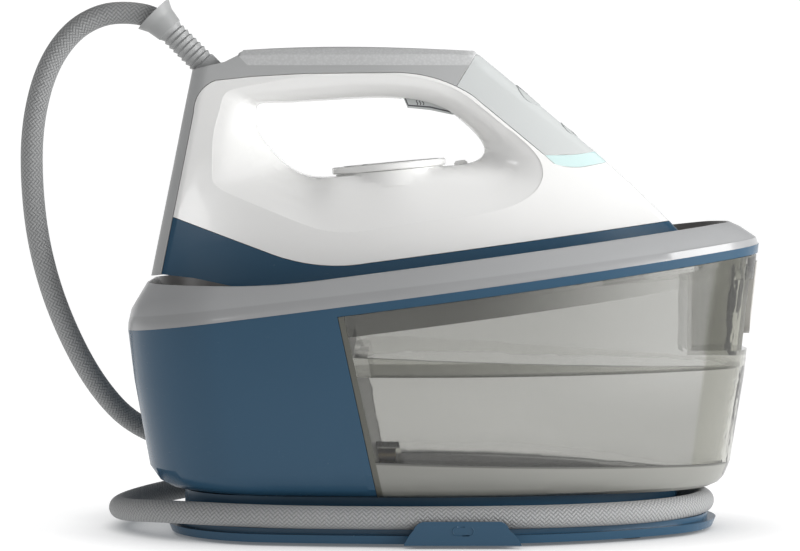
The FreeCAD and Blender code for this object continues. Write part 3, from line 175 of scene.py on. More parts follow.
class NodeWork:
    """A node tree that finishes and surroundings are drawn in."""

    # A Mix node's sockets go by place, because those of numbers, vectors and colours share their names.
    MIX_SHARE, MIX_LOW, MIX_HIGH = 0, 6, 7
    MIX_COLOUR = 2

    def __init__(self, tree: bpy.types.NodeTree) -> None:
        """Empty the tree and keep it."""
        self.tree = tree
        self.tree.nodes.clear()

    def _feed(self, socket: Socket, value: Value) -> None:
        """Link a signal or socket into an input, or set its value.

        Args:
            socket: the input.
            value: signal, socket, number or colour.
        """
        if isinstance(value, Signal):
            self.tree.links.new(value.socket, socket)
        elif isinstance(value, Socket):
            self.tree.links.new(value, socket)
        elif isinstance(value, tuple) and socket.type == "RGBA" and len(value) == 3:
            socket.default_value = (*value, 1.0)
        else:
            socket.default_value = value

    def node(self, kind: str, settings: dict | None = None, inputs: dict | None = None) -> Placed:
        """Place any node.

        Args:
            kind: Blender's type name of the node.
            settings: attributes to set first.
            inputs: values or links by socket name or index.

        Returns:
            The placed node.
        """
        item = self.tree.nodes.new(kind)
        for name, value in (settings or {}).items():
            setattr(item, name, value)
        for name, value in (inputs or {}).items():
            self._feed(item.inputs[name], value)
        return Placed(self, item)

    def math(self, operation: str, *values: Value) -> Signal:
        """Place a Math node on its values and return its result."""
        return self.node("ShaderNodeMath", {"operation": operation}, dict(enumerate(values))).signal()

    def place(self) -> Socket:
        """Position on the piece, in metres."""
        return self.node("ShaderNodeTexCoord").out("Object")

    def axes(self, vector: Socket | None = None) -> tuple[Signal, Signal, Signal]:
        """The three numbers of a vector, the piece's own position if none is given."""
        split = self.node("ShaderNodeSeparateXYZ", None, {0: vector or self.place()})
        return split.signal(0), split.signal(1), split.signal(2)

    def trait(self, name: str) -> Signal:
        """Number stored on the mesh under that name."""
        return self.node("ShaderNodeAttribute", {"attribute_name": name}).signal("Fac")

    def noise(self, size: float, detail: float = 2.0, roughness: float = 0.5,
              stretch: Point = (1, 1, 1)) -> Signal:
        """Soft noise.

        Args:
            size: rough width of its blotches.
            detail: how many finer layers it has.
            roughness: how strong those layers are.
            stretch: how many times it is narrower along each axis.

        Returns:
            The noise, from 0 to 1.
        """
        where = self.node("ShaderNodeMapping", None, {"Vector": self.place(), "Scale": stretch}).out()
        inputs = {"Vector": where, "Scale": 1.0 / size, "Detail": detail, "Roughness": roughness}
        return self.node("ShaderNodeTexNoise", None, inputs).signal("Fac")

    def cells(self, size: float) -> Signal:
        """Distance from the middle of the nearest of many cells of that size."""
        inputs = {"Vector": self.place(), "Scale": 1.0 / size}
        return self.node("ShaderNodeTexVoronoi", None, inputs).signal("Distance")

    def blend(self, share: Value, low: Value, high: Value) -> Socket:
        """Mix two colours: the low one where the share is 0, the high one where it is 1."""
        inputs = {self.MIX_SHARE: share, self.MIX_LOW: low, self.MIX_HIGH: high}
        return self.node("ShaderNodeMix", {"data_type": "RGBA"}, inputs).out(self.MIX_COLOUR)

    def vary(self, share: Value, colour: Colour, low: float, high: float) -> Socket:
        """Mix two tones of one colour, each given by its factor."""
        return self.blend(share, tone(colour, low), tone(colour, high))

    def relief(self, height: Value, depth: float, strength: float = 1.0) -> Socket:
        """Normal of a surface raised by a height from 0 to 1 times a depth."""
        inputs = {"Height": height, "Distance": depth, "Strength": strength}
        return self.node("ShaderNodeBump", None, inputs).out()


class Shader(NodeWork):
    """Node tree of one finish, ending in a principled surface."""

    def __init__(self, name: str) -> None:
        """Start an empty material.

        Args:
            name: its name.
        """
        self.material = bpy.data.materials.new(name)
        self.material.use_nodes = True
        super().__init__(self.material.node_tree)
        self.surface = self.tree.nodes.new("ShaderNodeBsdfPrincipled")
        output = self.tree.nodes.new("ShaderNodeOutputMaterial")
        self.tree.links.new(self.surface.outputs["BSDF"], output.inputs["Surface"])

    def set(self, **inputs: Value) -> None:
        """Feed the surface's own sockets; underscores in the names stand for spaces."""
        for name, value in inputs.items():
            self._feed(self.surface.inputs[name.replace("_", " ")], value)


def tone(colour: Colour, factor: float) -> Colour:
    """A colour made lighter or darker by a factor."""
    return tuple(min(1.0, channel * factor) for channel in colour)


# ---- finishes ----
@dataclass(frozen=True)
class Coating:
    """A kind of finish, with the name of its material and its main colour."""

    name: str
    colour: Colour

    def build(self) -> bpy.types.Material:
        """Make the material.

        Returns:
            The material.
        """
        shader = Shader(self.name)
        self.draw(shader)
        return shader.material

    def draw(self, shader: Shader) -> None:
        """Feed the surface of the material, which each kind of finish does its own way."""
        raise NotImplementedError


@dataclass(frozen=True)
class MouldedPlastic(Coating):
    """Injection moulded plastic: slight colour drift, faint orange peel and a haze of fine handling scuffs.

    A darker colour on faces marked as inside is painted shade on the walls that face into a rim. Painted
    shade of a rim's lower strip is given by the height and slope of the line above which a rim is in its full
    colour, and the darker tone below.
    """

    roughness: float = 0.3
    coat: float = 0.0
    shine: float = 0.5
    peel_size: float = 0.0035
    peel_depth: float = 0.00002
    drift: float = 0.03
    # Colour of painted shade on the faces marked as inside.
    inner_shade: Colour | None = None
    # Painted shade of a rim's lower strip: height and slope of its upper line, and the darker tone below it.
    bevel_shade: tuple[float, float, float] | None = None
    bevel_shade_blur: float = 0.0005
    drift_size: float = 0.09
    haze_size: float = 0.02
    haze: float = 0.06
    scuff_size: float = 0.0035
    scuff_stretch: Point = (1.0, 1.0, 6.0)
    scuff_level: Pair = (0.6, 0.8)
    scuff: float = 0.05
    coat_roughness: float = 0.06

    def draw(self, shader: Shader) -> None:
        """Draw drift, scuffs and peel, and the painted shade of a rim where it is given.

        Args:
            shader: nodes of the finish.
        """
        flow = shader.noise(self.drift_size, 3.0)
        haze = shader.noise(self.haze_size, 4.0, 0.6)
        colour = shader.vary(flow, self.colour, 1 - self.drift, 1 + self.drift)
        scuffs = shader.noise(self.scuff_size, 5.0, 0.75, self.scuff_stretch).between(*self.scuff_level)
        # Painted shade: a darker tone below a tilted line on a rim's lower strip.
        if self.bevel_shade:
            height, slope, shade = self.bevel_shade
            lengthwise, _, level = shader.axes()
            upper = (level - lengthwise * slope).past(height, self.bevel_shade_blur)
            colour = shader.blend(upper, tone(self.colour, shade), colour)
        # Painted shade: a darker colour on the faces that look into a rim.
        if self.inner_shade:
            colour = shader.blend(shader.trait("inside"), colour, self.inner_shade)
        shader.set(
            Base_Color=colour,
            Roughness=haze * self.haze + scuffs * self.scuff + (self.roughness - self.haze / 2),
            Coat_Weight=self.coat,
            Coat_Roughness=self.coat_roughness,
            Specular_IOR_Level=self.shine,
            Normal=shader.relief(shader.noise(self.peel_size, 1.0), self.peel_depth),
        )


@dataclass(frozen=True)
class SatinTexture(Coating):
    """Spark eroded satin plastic with a fine even grain."""

    roughness: float = 0.5
    grain: float = 0.0006
    depth: float = 0.00003
    drift: float = 0.04
    drift_size: float = 0.06
    swing: float = 0.1

    def draw(self, shader: Shader) -> None:
        """Draw the grain and the drift.

        Args:
            shader: nodes of the finish.
        """
        fine = shader.noise(self.grain, 2.0, 0.6)
        broad = shader.noise(self.drift_size, 2.0)
        shader.set(
            Base_Color=shader.vary(broad, self.colour, 1 - self.drift, 1 + self.drift),
            Roughness=fine * self.swing + (self.roughness - self.swing / 2),
            Normal=shader.relief(fine, self.depth),
        )


@dataclass(frozen=True)
class SoftTouch(Coating):
    """Leather grained soft touch skin of the grip."""

    pebble: float = 0.0016
    pebble_edge: Pair = (0.1, 0.75)
    pore_share: float = 0.2
    depth: float = 0.00005
    strength: float = 0.7
    roughness: float = 0.48
    swing: float = 0.12
    tones: Pair = (1.03, 0.93)

    def draw(self, shader: Shader) -> None:
        """Draw the pebbles and pores.

        Args:
            shader: nodes of the finish.
        """
        pebbles = shader.cells(self.pebble).between(*self.pebble_edge)
        pores = shader.noise(self.pebble / 3, 1.0)
        height = pebbles * (1 - self.pore_share) + pores * self.pore_share
        shader.set(
            Base_Color=shader.vary(pebbles, self.colour, *self.tones),
            Roughness=pebbles * self.swing + self.roughness,
            Normal=shader.relief(1 - height, self.depth, self.strength),
        )


@dataclass(frozen=True)
class SmokedPlastic(Coating):
    """Tinted clear plastic of the water tank, darker towards the rear by painted shade."""

    # Painted shade: the darker tint at the rear, and the span along the tank over which it turns into the
    # main tint.
    rear_shade: Colour
    shade_fade: Pair = (-0.06, 0.05)
    see_through: float = 1.0
    roughness: float = 0.03
    bend: float = 1.46
    swirl_size: float = 0.07
    swirl: float = 0.06
    swirl_tone: float = 0.8
    swing: float = 0.02
    ripple_size: float = 0.012
    ripple_depth: float = 0.00002

    def draw(self, shader: Shader) -> None:
        """Draw the smoke with its swirls and ripples.

        Args:
            shader: nodes of the finish.
        """
        swirl = shader.noise(self.swirl_size, 3.0)
        colour = self.smoke(shader)
        shader.set(
            Base_Color=shader.blend(swirl * self.swirl, colour, tone(self.colour, self.swirl_tone)),
            Roughness=swirl * self.swing + self.roughness,
            IOR=self.bend,
            Transmission_Weight=self.see_through,
            Normal=shader.relief(shader.noise(self.ripple_size, 1.0), self.ripple_depth),
        )

    def smoke(self, shader: Shader) -> Socket:
        """Colour of the smoke, which kinds with edges and steps add to."""
        return self.shaded_along(shader, shader.axes()[0])

    def shaded_along(self, shader: Shader, lengthwise: Signal) -> Socket:
        """Tint with painted shade, darker towards the rear of the tank and lighter towards its front."""
        return shader.blend(lengthwise.between(*self.shade_fade), self.rear_shade, self.colour)


@dataclass(frozen=True)
class TankWall(SmokedPlastic):
    """Smoked wall with a painted reflection, paler, and beyond a leaning edge painted shade, darker, on its
    near front.
    """

    # Colours and reach of the painted reflection and the painted shade on the near front of the wall:
    shoulder_reflection: Colour = (0.8, 0.8, 0.785)
    nose_shade: Colour = (0.55, 0.55, 0.5)
    reflection_span: Pair = (0.03, 0.145)
    reflection_rise: Pair = (0.06, 0.11)
    edge: float = 0.1475
    shade_edge_height: float = 0.087
    shade_edge_blur: Pair = (-0.001, 0.002)
    lean: float = 0.13

    def smoke(self, shader: Shader) -> Socket:
        """Tint along the wall, with a painted reflection and painted shade set off on its near side.

        Args:
            shader: nodes of the finish.

        Returns:
            The colour.
        """
        lengthwise, across, height = shader.axes()
        near = across < 0.0
        edge = lengthwise - (height - self.shade_edge_height) * self.lean - self.edge
        # Painted reflection: paler on the near side towards the front, over a band of height.
        reflection = lengthwise.between(*self.reflection_span) * near * height.between(*self.reflection_rise)
        colour = shader.blend(reflection, self.shaded_along(shader, lengthwise), self.shoulder_reflection)
        # Painted shade: darker on the near side beyond the leaning edge, where the wall is seen edge-on.
        return shader.blend(edge.between(*self.shade_edge_blur) * near, colour, self.nose_shade)


@dataclass(frozen=True)
class SmokedFoot(SmokedPlastic):
    """Frosted foot of the tank wall under a thin dark line."""

    line: float = 0.0455
    line_blur: Pair = (-0.0006, 0.0002)
    line_share: float = 0.75
    line_colour: Colour = (0.06, 0.06, 0.055)
    slope: float = 0.035

    def smoke(self, shader: Shader) -> Socket:
        """Tint along the foot, dark at its upper edge.

        Args:
            shader: nodes of the finish.

        Returns:
            The colour.
        """
        lengthwise, _, height = shader.axes()
        lower, upper = (self.line + blur for blur in self.line_blur)
        crest = (height + lengthwise * self.slope).between(lower, upper)
        return shader.blend(crest * self.line_share, self.shaded_along(shader, lengthwise), self.line_colour)


@dataclass(frozen=True)
class SmokedLedge(SmokedPlastic):
    """Smoked ledge with a paler upper step, painted light on its top, and a dark lowest edge, painted shade
    under it.
    """

    step: float = 0.1034
    lit_step_blur: float = 0.0004
    # Painted light: the paler tone above the step.
    upper: Colour = (0.72, 0.72, 0.68)
    # Painted shade: the dark tone below this height.
    shaded_lip: float = 0.0972
    shaded_lip_share: float = 0.7
    shaded_lip_colour: Colour = (0.1, 0.1, 0.09)

    def smoke(self, shader: Shader) -> Socket:
        """Tint by height, with painted light above the step and painted shade at the lowest edge, over the
        painted shade along the tank.

        Args:
            shader: nodes of the finish.

        Returns:
            The colour.
        """
        lengthwise, _, height = shader.axes()
        # Painted light above the step, and painted shade at the lowest edge.
        above = height.past(self.step, self.lit_step_blur)
        body = shader.blend(above, self.shaded_along(shader, lengthwise), self.upper)
        return shader.blend((height < self.shaded_lip) * self.shaded_lip_share, body, self.shaded_lip_colour)


@dataclass(frozen=True)
class Metal(Coating):
    """Turned, drawn or cast metal, with fine lines across the axis whose brush number is large."""

    roughness: float = 0.25
    brush: Point = (1.0, 1.0, 40.0)
    line_size: float = 0.02
    depth: float = 0.00002
    swing: float = 0.12
    tones: Pair = (0.92, 1.06)

    def draw(self, shader: Shader) -> None:
        """Draw the brushed lines.

        Args:
            shader: nodes of the finish.
        """
        lines = shader.noise(self.line_size, 4.0, 0.7, self.brush)
        shader.set(
            Base_Color=shader.vary(lines, self.colour, *self.tones),
            Metallic=1.0,
            Roughness=lines * self.swing + (self.roughness - self.swing / 2),
            Normal=shader.relief(lines, self.depth),
        )


@dataclass(frozen=True)
class Rubber(Coating):
    """Matt moulded rubber with a dusting of bloom."""

    roughness: float = 0.65
    bloom_size: float = 0.008
    swing: float = 0.1
    grain: float = 0.0009
    depth: float = 0.00004
    tones: Pair = (0.92, 1.08)

    def draw(self, shader: Shader) -> None:
        """Draw the bloom and the grain.

        Args:
            shader: nodes of the finish.
        """
        bloom = shader.noise(self.bloom_size, 4.0, 0.65)
        shader.set(
            Base_Color=shader.vary(bloom, self.colour, *self.tones),
            Roughness=bloom * self.swing + (self.roughness - self.swing / 2),
            Normal=shader.relief(shader.noise(self.grain, 2.0), self.depth),
        )


@dataclass(frozen=True)
class LightGuide(Coating):
    """Pale aqua light band with a deeper upper edge."""

    edge: Colour
    crest: float = 0.2175
    crest_blur: Pair = (-0.0016, -0.0004)
    slope: float = 0.057
    flow_size: float = 0.03
    roughness: float = 0.12
    swing: float = 0.05
    coat: float = 0.5
    glow: float = 0.05
    tones: Pair = (1.0, 1.04)

    def draw(self, shader: Shader) -> None:
        """Draw the flow and the upper edge.

        Args:
            shader: nodes of the finish.
        """
        flow = shader.noise(self.flow_size, 2.0)
        colour = shader.vary(flow, self.colour, *self.tones)
        lengthwise, _, height = shader.axes()
        lower, upper = (self.crest + blur for blur in self.crest_blur)
        crest = (height - lengthwise * self.slope).between(lower, upper)
        shader.set(
            Base_Color=shader.blend(crest, colour, self.edge),
            Roughness=flow * self.swing + self.roughness,
            Coat_Weight=self.coat,
            Emission_Color=colour,
            Emission_Strength=self.glow,
        )


@dataclass(frozen=True)
class WovenBraid(Coating):
    """Herringbone braid of the steam hose, drawn on the mesh's own turns and lengths.

    Strands wind both ways round the hose. Each goes over two of the others and then under two, is domed
    across its width, and dips at both ends of a crossing.
    """

    # Colour of painted shade in the low parts of the weave.
    dark: Colour
    strands: int = 32
    pitch: float = 0.0026
    repeat: float = 4.0
    last_over: float = 1.5
    dome: float = 2.2
    dip: float = 4.0
    depth: float = 0.0004
    strength: float = 0.8
    fibre_size: float = 0.0005
    fibre_share: float = 0.15
    roughness: float = 0.6
    wear_size: float = 0.05
    wear_share: float = 0.3
    wear_tone: float = 0.8
    sheen: float = 0.15
    sheen_roughness: float = 0.4

    def draw(self, shader: Shader) -> None:
        """Draw the strands from where each point lies on both windings.

        Args:
            shader: nodes of the finish.
        """
        turn = shader.trait("turn") * float(self.strands)
        run = shader.trait("run") / self.pitch
        rising = turn * 0.5 + run
        falling = turn * 0.5 - run
        step = rising.floor() - falling.floor()
        over = (step % self.repeat) < self.last_over
        across_rising = ((rising % 1.0) - 0.5).size()
        across_falling = ((falling % 1.0) - 0.5).size()
        across = over * across_falling + (1 - over) * across_rising
        dome = 1 - (across * 2.0) ** self.dome
        along = over * across_rising + (1 - over) * across_falling
        dip = 1 - (along * 2.0) ** self.dip
        height = dome * (dip * 0.5 + 0.5)
        fibre = shader.noise(self.fibre_size, 2.0)
        wear = shader.noise(self.wear_size, 3.0)
        # Painted shade: the weave darkens where it lies low, between and under the strands.
        cloth = shader.blend(height, self.dark, self.colour)
        cloth = shader.blend(wear * self.wear_share, cloth, tone(self.colour, self.wear_tone))
        shader.set(
            Base_Color=cloth,
            Roughness=fibre * self.fibre_share + self.roughness,
            Sheen_Weight=self.sheen,
            Sheen_Roughness=self.sheen_roughness,
            Normal=shader.relief(height + fibre * self.fibre_share, self.depth, self.strength),
        )


class Finish(Enum):
    """The finishes of this iron and its station."""

    WHITE = MouldedPlastic("white_shell", (0.85, 0.848, 0.835), 0.2, 0.3)
    BLUE = MouldedPlastic("blue_shell", (0.024, 0.07, 0.122), 0.26, 0.0, 0.28, drift=0.05)
    # The rim's darker colour on the walls that face into it and its darker lower strip are painted shade.
    RIM = MouldedPlastic("rim_grey", (0.38, 0.385, 0.39), 0.32, 0.15, inner_shade=(0.115, 0.11, 0.105),
                         bevel_shade=(0.1495, 0.1225, 0.86))
    # Dark floor of the tray: a real insert piece, its dark tone also painted shade of the tray's hollow.
    TRAY = MouldedPlastic("tray_dark", (0.10, 0.095, 0.09), 0.55)
    FLAP = MouldedPlastic("flap_beige", (0.36, 0.35, 0.32), 0.4)
    FRAME = SatinTexture("frame_grey", (0.41, 0.415, 0.415), 0.42)
    PANEL = SatinTexture("panel_grey", (0.58, 0.6, 0.595), 0.36)
    KEYS = SatinTexture("key_grey", (0.54, 0.56, 0.555), 0.38)
    GRIP = SoftTouch("grip_skin", (0.55, 0.555, 0.555))
    # The tank wall's finish paints a reflection and shade on its near front, and shade towards the rear.
    TANK = TankWall("smoked_tank", (0.61, 0.61, 0.59), (0.58, 0.58, 0.56))
    # Darker, less clear copy of the smoke on the tank's rear wall: painted shade that also hides its
    # reflections.
    TANK_REAR_SHADE = SmokedPlastic("rear_wall_shade", (0.13, 0.13, 0.11), (0.13, 0.13, 0.11), see_through=0.3,
                              roughness=0.3)
    TANK_FOOT = SmokedFoot("smoked_foot", (0.27, 0.27, 0.25), (0.25, 0.25, 0.23), (-0.06, 0.1), 0.1, 0.3)
    # The cover and the ledge go from dark at the rear to pale at the front: painted shade.
    COVER = SmokedPlastic("smoked_cover", (0.97, 0.97, 0.96), (0.2, 0.2, 0.19), (0.0, 0.15), bend=1.2)
    BAFFLE = SmokedLedge("smoked_baffle", (0.72, 0.72, 0.68), (0.34, 0.34, 0.31), (-0.03, 0.15), bend=1.12)
    # Paler, clearer copy of the ledge's smoke for its far half: painted light.
    BAFFLE_FAR_LIT = SmokedPlastic("ledge_far_lit", (0.93, 0.93, 0.92), (0.9, 0.9, 0.89), bend=1.03)
    VALVE = SmokedPlastic("valve_resin", (0.8, 0.8, 0.77), (0.8, 0.8, 0.77), bend=1.1)
    BAND = LightGuide("light_guide", (0.60, 0.76, 0.75), (0.1, 0.42, 0.42))
    STEEL = Metal("sole_steel", (0.66, 0.66, 0.67), 0.16)
    PIN = Metal("pin_steel", (0.6, 0.6, 0.6), 0.3)
    CASTING = Metal("cast_aluminium", (0.6, 0.61, 0.62), 0.5, (1.0, 1.0, 1.0))
    BRASS = Metal("turned_brass", (0.66, 0.5, 0.26), 0.3)
    DARK = SatinTexture("dark_plastic", (0.03, 0.03, 0.032), 0.5)
    BOARD = MouldedPlastic("board_lacquer", (0.03, 0.16, 0.07), 0.3)
    FOOT = Rubber("foot_rubber", (0.05, 0.05, 0.052))
    BOOT = Rubber("boot_rubber", (0.33, 0.335, 0.335), 0.5)
    BRAID = WovenBraid("hose_braid", (0.36, 0.365, 0.365), (0.15, 0.152, 0.155))
    MARK = SatinTexture("mark_dark", (0.08, 0.085, 0.09), 0.45)


Groups = tuple[tuple[Finish, tuple[str, ...]], ...]


class Paintbox:
    """Builds each finish once and puts it on pieces."""

    def __init__(self) -> None:
        """Start with no finish mixed."""
        self.mixed: dict[Finish, bpy.types.Material] = {}

    def mix(self, finish: Finish) -> bpy.types.Material:
        """Mix a finish, or find it where it is mixed already.

        Args:
            finish: the finish.

        Returns:
            Its material.
        """
        if finish not in self.mixed:
            self.mixed[finish] = finish.value.build()
        return self.mixed[finish]

    def coat(self, piece: bpy.types.Object, finish: Finish) -> None:
        """Give a piece one finish all over."""
        piece.data.materials.clear()
        piece.data.materials.append(self.mix(finish))

    def coat_node(self, name: str, finish: Finish) -> None:
        """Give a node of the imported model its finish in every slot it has.

        Args:
            name: name of the node.
            finish: its finish.
        """
        node = frame["nodes"][name]
        material = self.mix(finish)
        for slot in node.material_slots:
            slot.material = material
        log.info("%s finished as %s", name, finish.name.lower())


# ---- mesh helpers ----
def place_object(name: str, data: bpy.types.ID) -> bpy.types.Object:
    """Put a new object into the scene.

    Args:
        name: its name.
        data: mesh, curve, light or camera that it holds.

    Returns:
        The object.
    """
    item = bpy.data.objects.new(name, data)
    bpy.context.scene.collection.objects.link(item)
    return item


def add_piece(name: str, shape: Shape, smooth: bool = True) -> bpy.types.Object:
    """Turn a bmesh into an object of the scene.

    Args:
        name: name of the piece.
        shape: its geometry, freed here.
        smooth: whether its faces are shaded smooth.

    Returns:
        The new object.
    """
    mesh = bpy.data.meshes.new(name)
    shape.to_mesh(mesh)
    shape.free()
    for polygon in mesh.polygons:
        polygon.use_smooth = smooth
    return place_object(name, mesh)


def cut_along(shape: Shape, planes: Sequence[Plane]) -> None:
    """Cut a mesh along planes.

    Args:
        shape: the mesh, changed in place.
        planes: a point on each plane and its normal.
    """
    for place, normal in planes:
        parts = [*shape.verts, *shape.edges, *shape.faces]
        bmesh.ops.bisect_plane(shape, geom=parts, dist=ON_PLANE, plane_co=place, plane_no=normal)


@dataclass(frozen=True)
class Patch:
    """Part of a skin with a finish of its own: what lies behind all of its planes."""

    finish: Finish
    planes: tuple[Plane, ...]

    def holds(self, face: bmesh.types.BMFace) -> bool:
        """Whether a face belongs to the patch."""
        centre = face.calc_center_median()
        return all((centre - Vector(place)).dot(Vector(normal)) < 0 for place, normal in self.planes)


@dataclass(frozen=True)
class Crown:
    """Gentle arch that a flat inlay is raised by along its length and across its width."""

    rear: float = -0.1366
    front: float = 0.0309
    half: float = 0.0195
    rise: float = 0.0034
    lean: float = 0.85
    rows: int = 28
    columns: int = 4
    top_slope: float = 0.5

    def raise_top(self, shape: Shape) -> None:
        """Cut the inlay into rows, and into columns to each side of its middle, and lift its top.

        Args:
            shape: mesh of the inlay, changed in place.
        """
        step = (self.front - self.rear) / self.rows
        planes = [((self.rear + step * row, 0.0, 0.0), LENGTHWISE) for row in range(1, self.rows)]
        planes += [((0.0, self.half * (column / self.columns), 0.0), ACROSS)
                   for column in range(1 - self.columns, self.columns)]
        cut_along(shape, planes)
        shape.normal_update()
        for vertex in shape.verts:
            along = min(1.0, max(0.0, (vertex.co.x - self.rear) / (self.front - self.rear)))
            across = min(1.0, abs(vertex.co.y) / self.half)
            if vertex.normal.z > self.top_slope:
                vertex.co.z += self.rise * math.sin(math.pi * along ** self.lean) * (1 - across ** 2)


@dataclass(frozen=True)
class Skin:
    """Smoothly shaded skin that stands for a curved node, with the faces that look into it marked for painted
    shade.

    Edges that turn by more than the crease, in radians, stay sharp. A face counts as looking in where its
    normal rises by less than steep, turns across by more than sideways, and points at the long axis.
    """

    node: str
    finish: Finish
    crease: float = 0.45
    patches: tuple[Patch, ...] = ()
    crown: Crown | None = None
    weld: float = 0.000002
    steep: float = 0.9
    sideways: float = 0.15

    def build(self, paint: Paintbox) -> None:
        """Make the skin and dress it.

        Args:
            paint: paintbox that mixes its finishes.
        """
        node = frame["nodes"][self.node]
        shape = self._shape(node.data)
        # Faces marked here take a finish's painted shade where it has one.
        inside = [float(self._turned_in(face)) for face in shape.faces]
        places = [self._patch_of(face) for face in shape.faces]
        skin = add_piece(f"{self.node}_skin", shape)
        skin.data.attributes.new("inside", "FLOAT", "FACE").data.foreach_set("value", inside)
        skin.modifiers.new("even_normals", "WEIGHTED_NORMAL").keep_sharp = True
        paint.coat(skin, self.finish)
        for patch in self.patches:
            skin.data.materials.append(paint.mix(patch.finish))
        skin.data.polygons.foreach_set("material_index", places)
        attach(skin, node["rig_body"])
        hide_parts(self.node)
        log.info("%s smooth, finished as %s", self.node, self.finish.name.lower())

    def _shape(self, mesh: bpy.types.Mesh) -> Shape:
        """Copy a node's faces, weld them, cut out its patches and mark its creases.

        Args:
            mesh: mesh of the node.

        Returns:
            The welded copy.
        """
        shape = bmesh.new()
        shape.from_mesh(mesh)
        bmesh.ops.remove_doubles(shape, verts=shape.verts, dist=self.weld)
        for patch in self.patches:
            cut_along(shape, patch.planes)
        if self.crown:
            self.crown.raise_top(shape)
        for edge in shape.edges:
            edge.smooth = len(edge.link_faces) == 2 and edge.calc_face_angle(0.0) < self.crease
        shape.normal_update()
        return shape

    def _patch_of(self, face: bmesh.types.BMFace) -> int:
        """Number of the last patch that holds a face, or 0 where none does."""
        holders = [number for number, patch in enumerate(self.patches, start=1) if patch.holds(face)]
        return max(holders, default=0)

    def _turned_in(self, face: bmesh.types.BMFace) -> bool:
        """Whether a steep face looks towards the long axis of the piece."""
        normal, centre = face.normal, face.calc_center_median()
        return abs(normal.z) < self.steep and normal.y * centre.y < 0 and abs(normal.y) > self.sideways


@dataclass(frozen=True)
class Mark:
    """Shallow moulded mark: rounded strokes laid on a node's surface, seen along one direction.

    The profile goes from side to side of a stroke, as shares of its half width and of its height. Its sides
    are sunk a little, so that no gap shows under them.
    """

    name: str
    node: str
    finish: Finish
    origin: Point
    right: Point
    up: Point
    strokes: tuple[tuple[Pair, ...], ...]
    width: float = 0.0006
    height: float = 0.00012
    reach: float = 0.03
    profile: tuple[Pair, ...] = ((-1.0, -0.2), (-0.6, 1.0), (0.6, 1.0), (1.0, -0.2))

    def build(self, paint: Paintbox) -> None:
        """Lay the strokes on the surface.

        Args:
            paint: paintbox that mixes the finish.
        """
        node = frame["nodes"][self.node]
        corners = [vertex.co for vertex in node.data.vertices]
        surface = BVHTree.FromPolygons(corners, [tuple(polygon.vertices) for polygon in node.data.polygons])
        shape = bmesh.new()
        for stroke in self.strokes:
            self._stroke(shape, surface, stroke)
        mark = add_piece(self.name, shape)
        paint.coat(mark, self.finish)
        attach(mark, node["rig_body"])
        log.info("mark %s on %s", self.name, self.node)

    def _stroke(self, shape: Shape, surface: BVHTree, stroke: Sequence[Pair]) -> None:
        """Add one stroke as a ribbon with a raised middle.

        Args:
            shape: mesh that it goes into.
            surface: surface that it lies on.
            stroke: its points, across and up from the origin.
        """
        right, up = Vector(self.right).normalized(), Vector(self.up).normalized()
        out = right.cross(up).normalized()
        flat = [Vector(point) for point in stroke]
        rows = []
        for number, point in enumerate(flat):
            ahead = flat[min(number + 1, len(flat) - 1)] - flat[max(number - 1, 0)]
            side = Vector((-ahead.y, ahead.x)).normalized() * (self.width / 2)
            row = []
            for share, rise in self.profile:
                spot = point + side * share
                start = Vector(self.origin) + right * spot.x + up * spot.y + out * self.reach
                hit, normal, _, _ = surface.ray_cast(start, -out, self.reach * 2)
                if hit is None:
                    hit, normal = start - out * self.reach, out
                row.append(shape.verts.new(hit + normal * (self.height * rise)))
            rows.append(row)
        for first, second in zip(rows, rows[1:]):
            for place in range(len(self.profile) - 1):
                shape.faces.new((first[place], first[place + 1], second[place + 1], second[place]))
        shape.faces.new(rows[0])
        shape.faces.new(list(reversed(rows[-1])))


def arc(radius: float, start: float, end: float, centre: Pair = (0.0, 0.0),
        steps: int = 24) -> tuple[Pair, ...]:
    """Points of a flat arc.

    Args:
        radius: its radius.
        start: angle where it starts, in degrees.
        end: angle where it ends.
        centre: its centre.
        steps: how many straight steps it has.

    Returns:
        The points.
    """
    angles = [math.radians(start + (end - start) * step / steps) for step in range(steps + 1)]
    return tuple((centre[0] + radius * math.cos(angle), centre[1] + radius * math.sin(angle))
                 for angle in angles)


def wave(length: float, swing: float, place: float, steps: int = 16) -> tuple[Pair, ...]:
    """Points of one upright wavy stroke, the sign for steam."""
    return tuple((place + swing * math.sin(2 * math.pi * step / steps), length * (step / steps - 0.5))
                 for step in range(steps + 1))


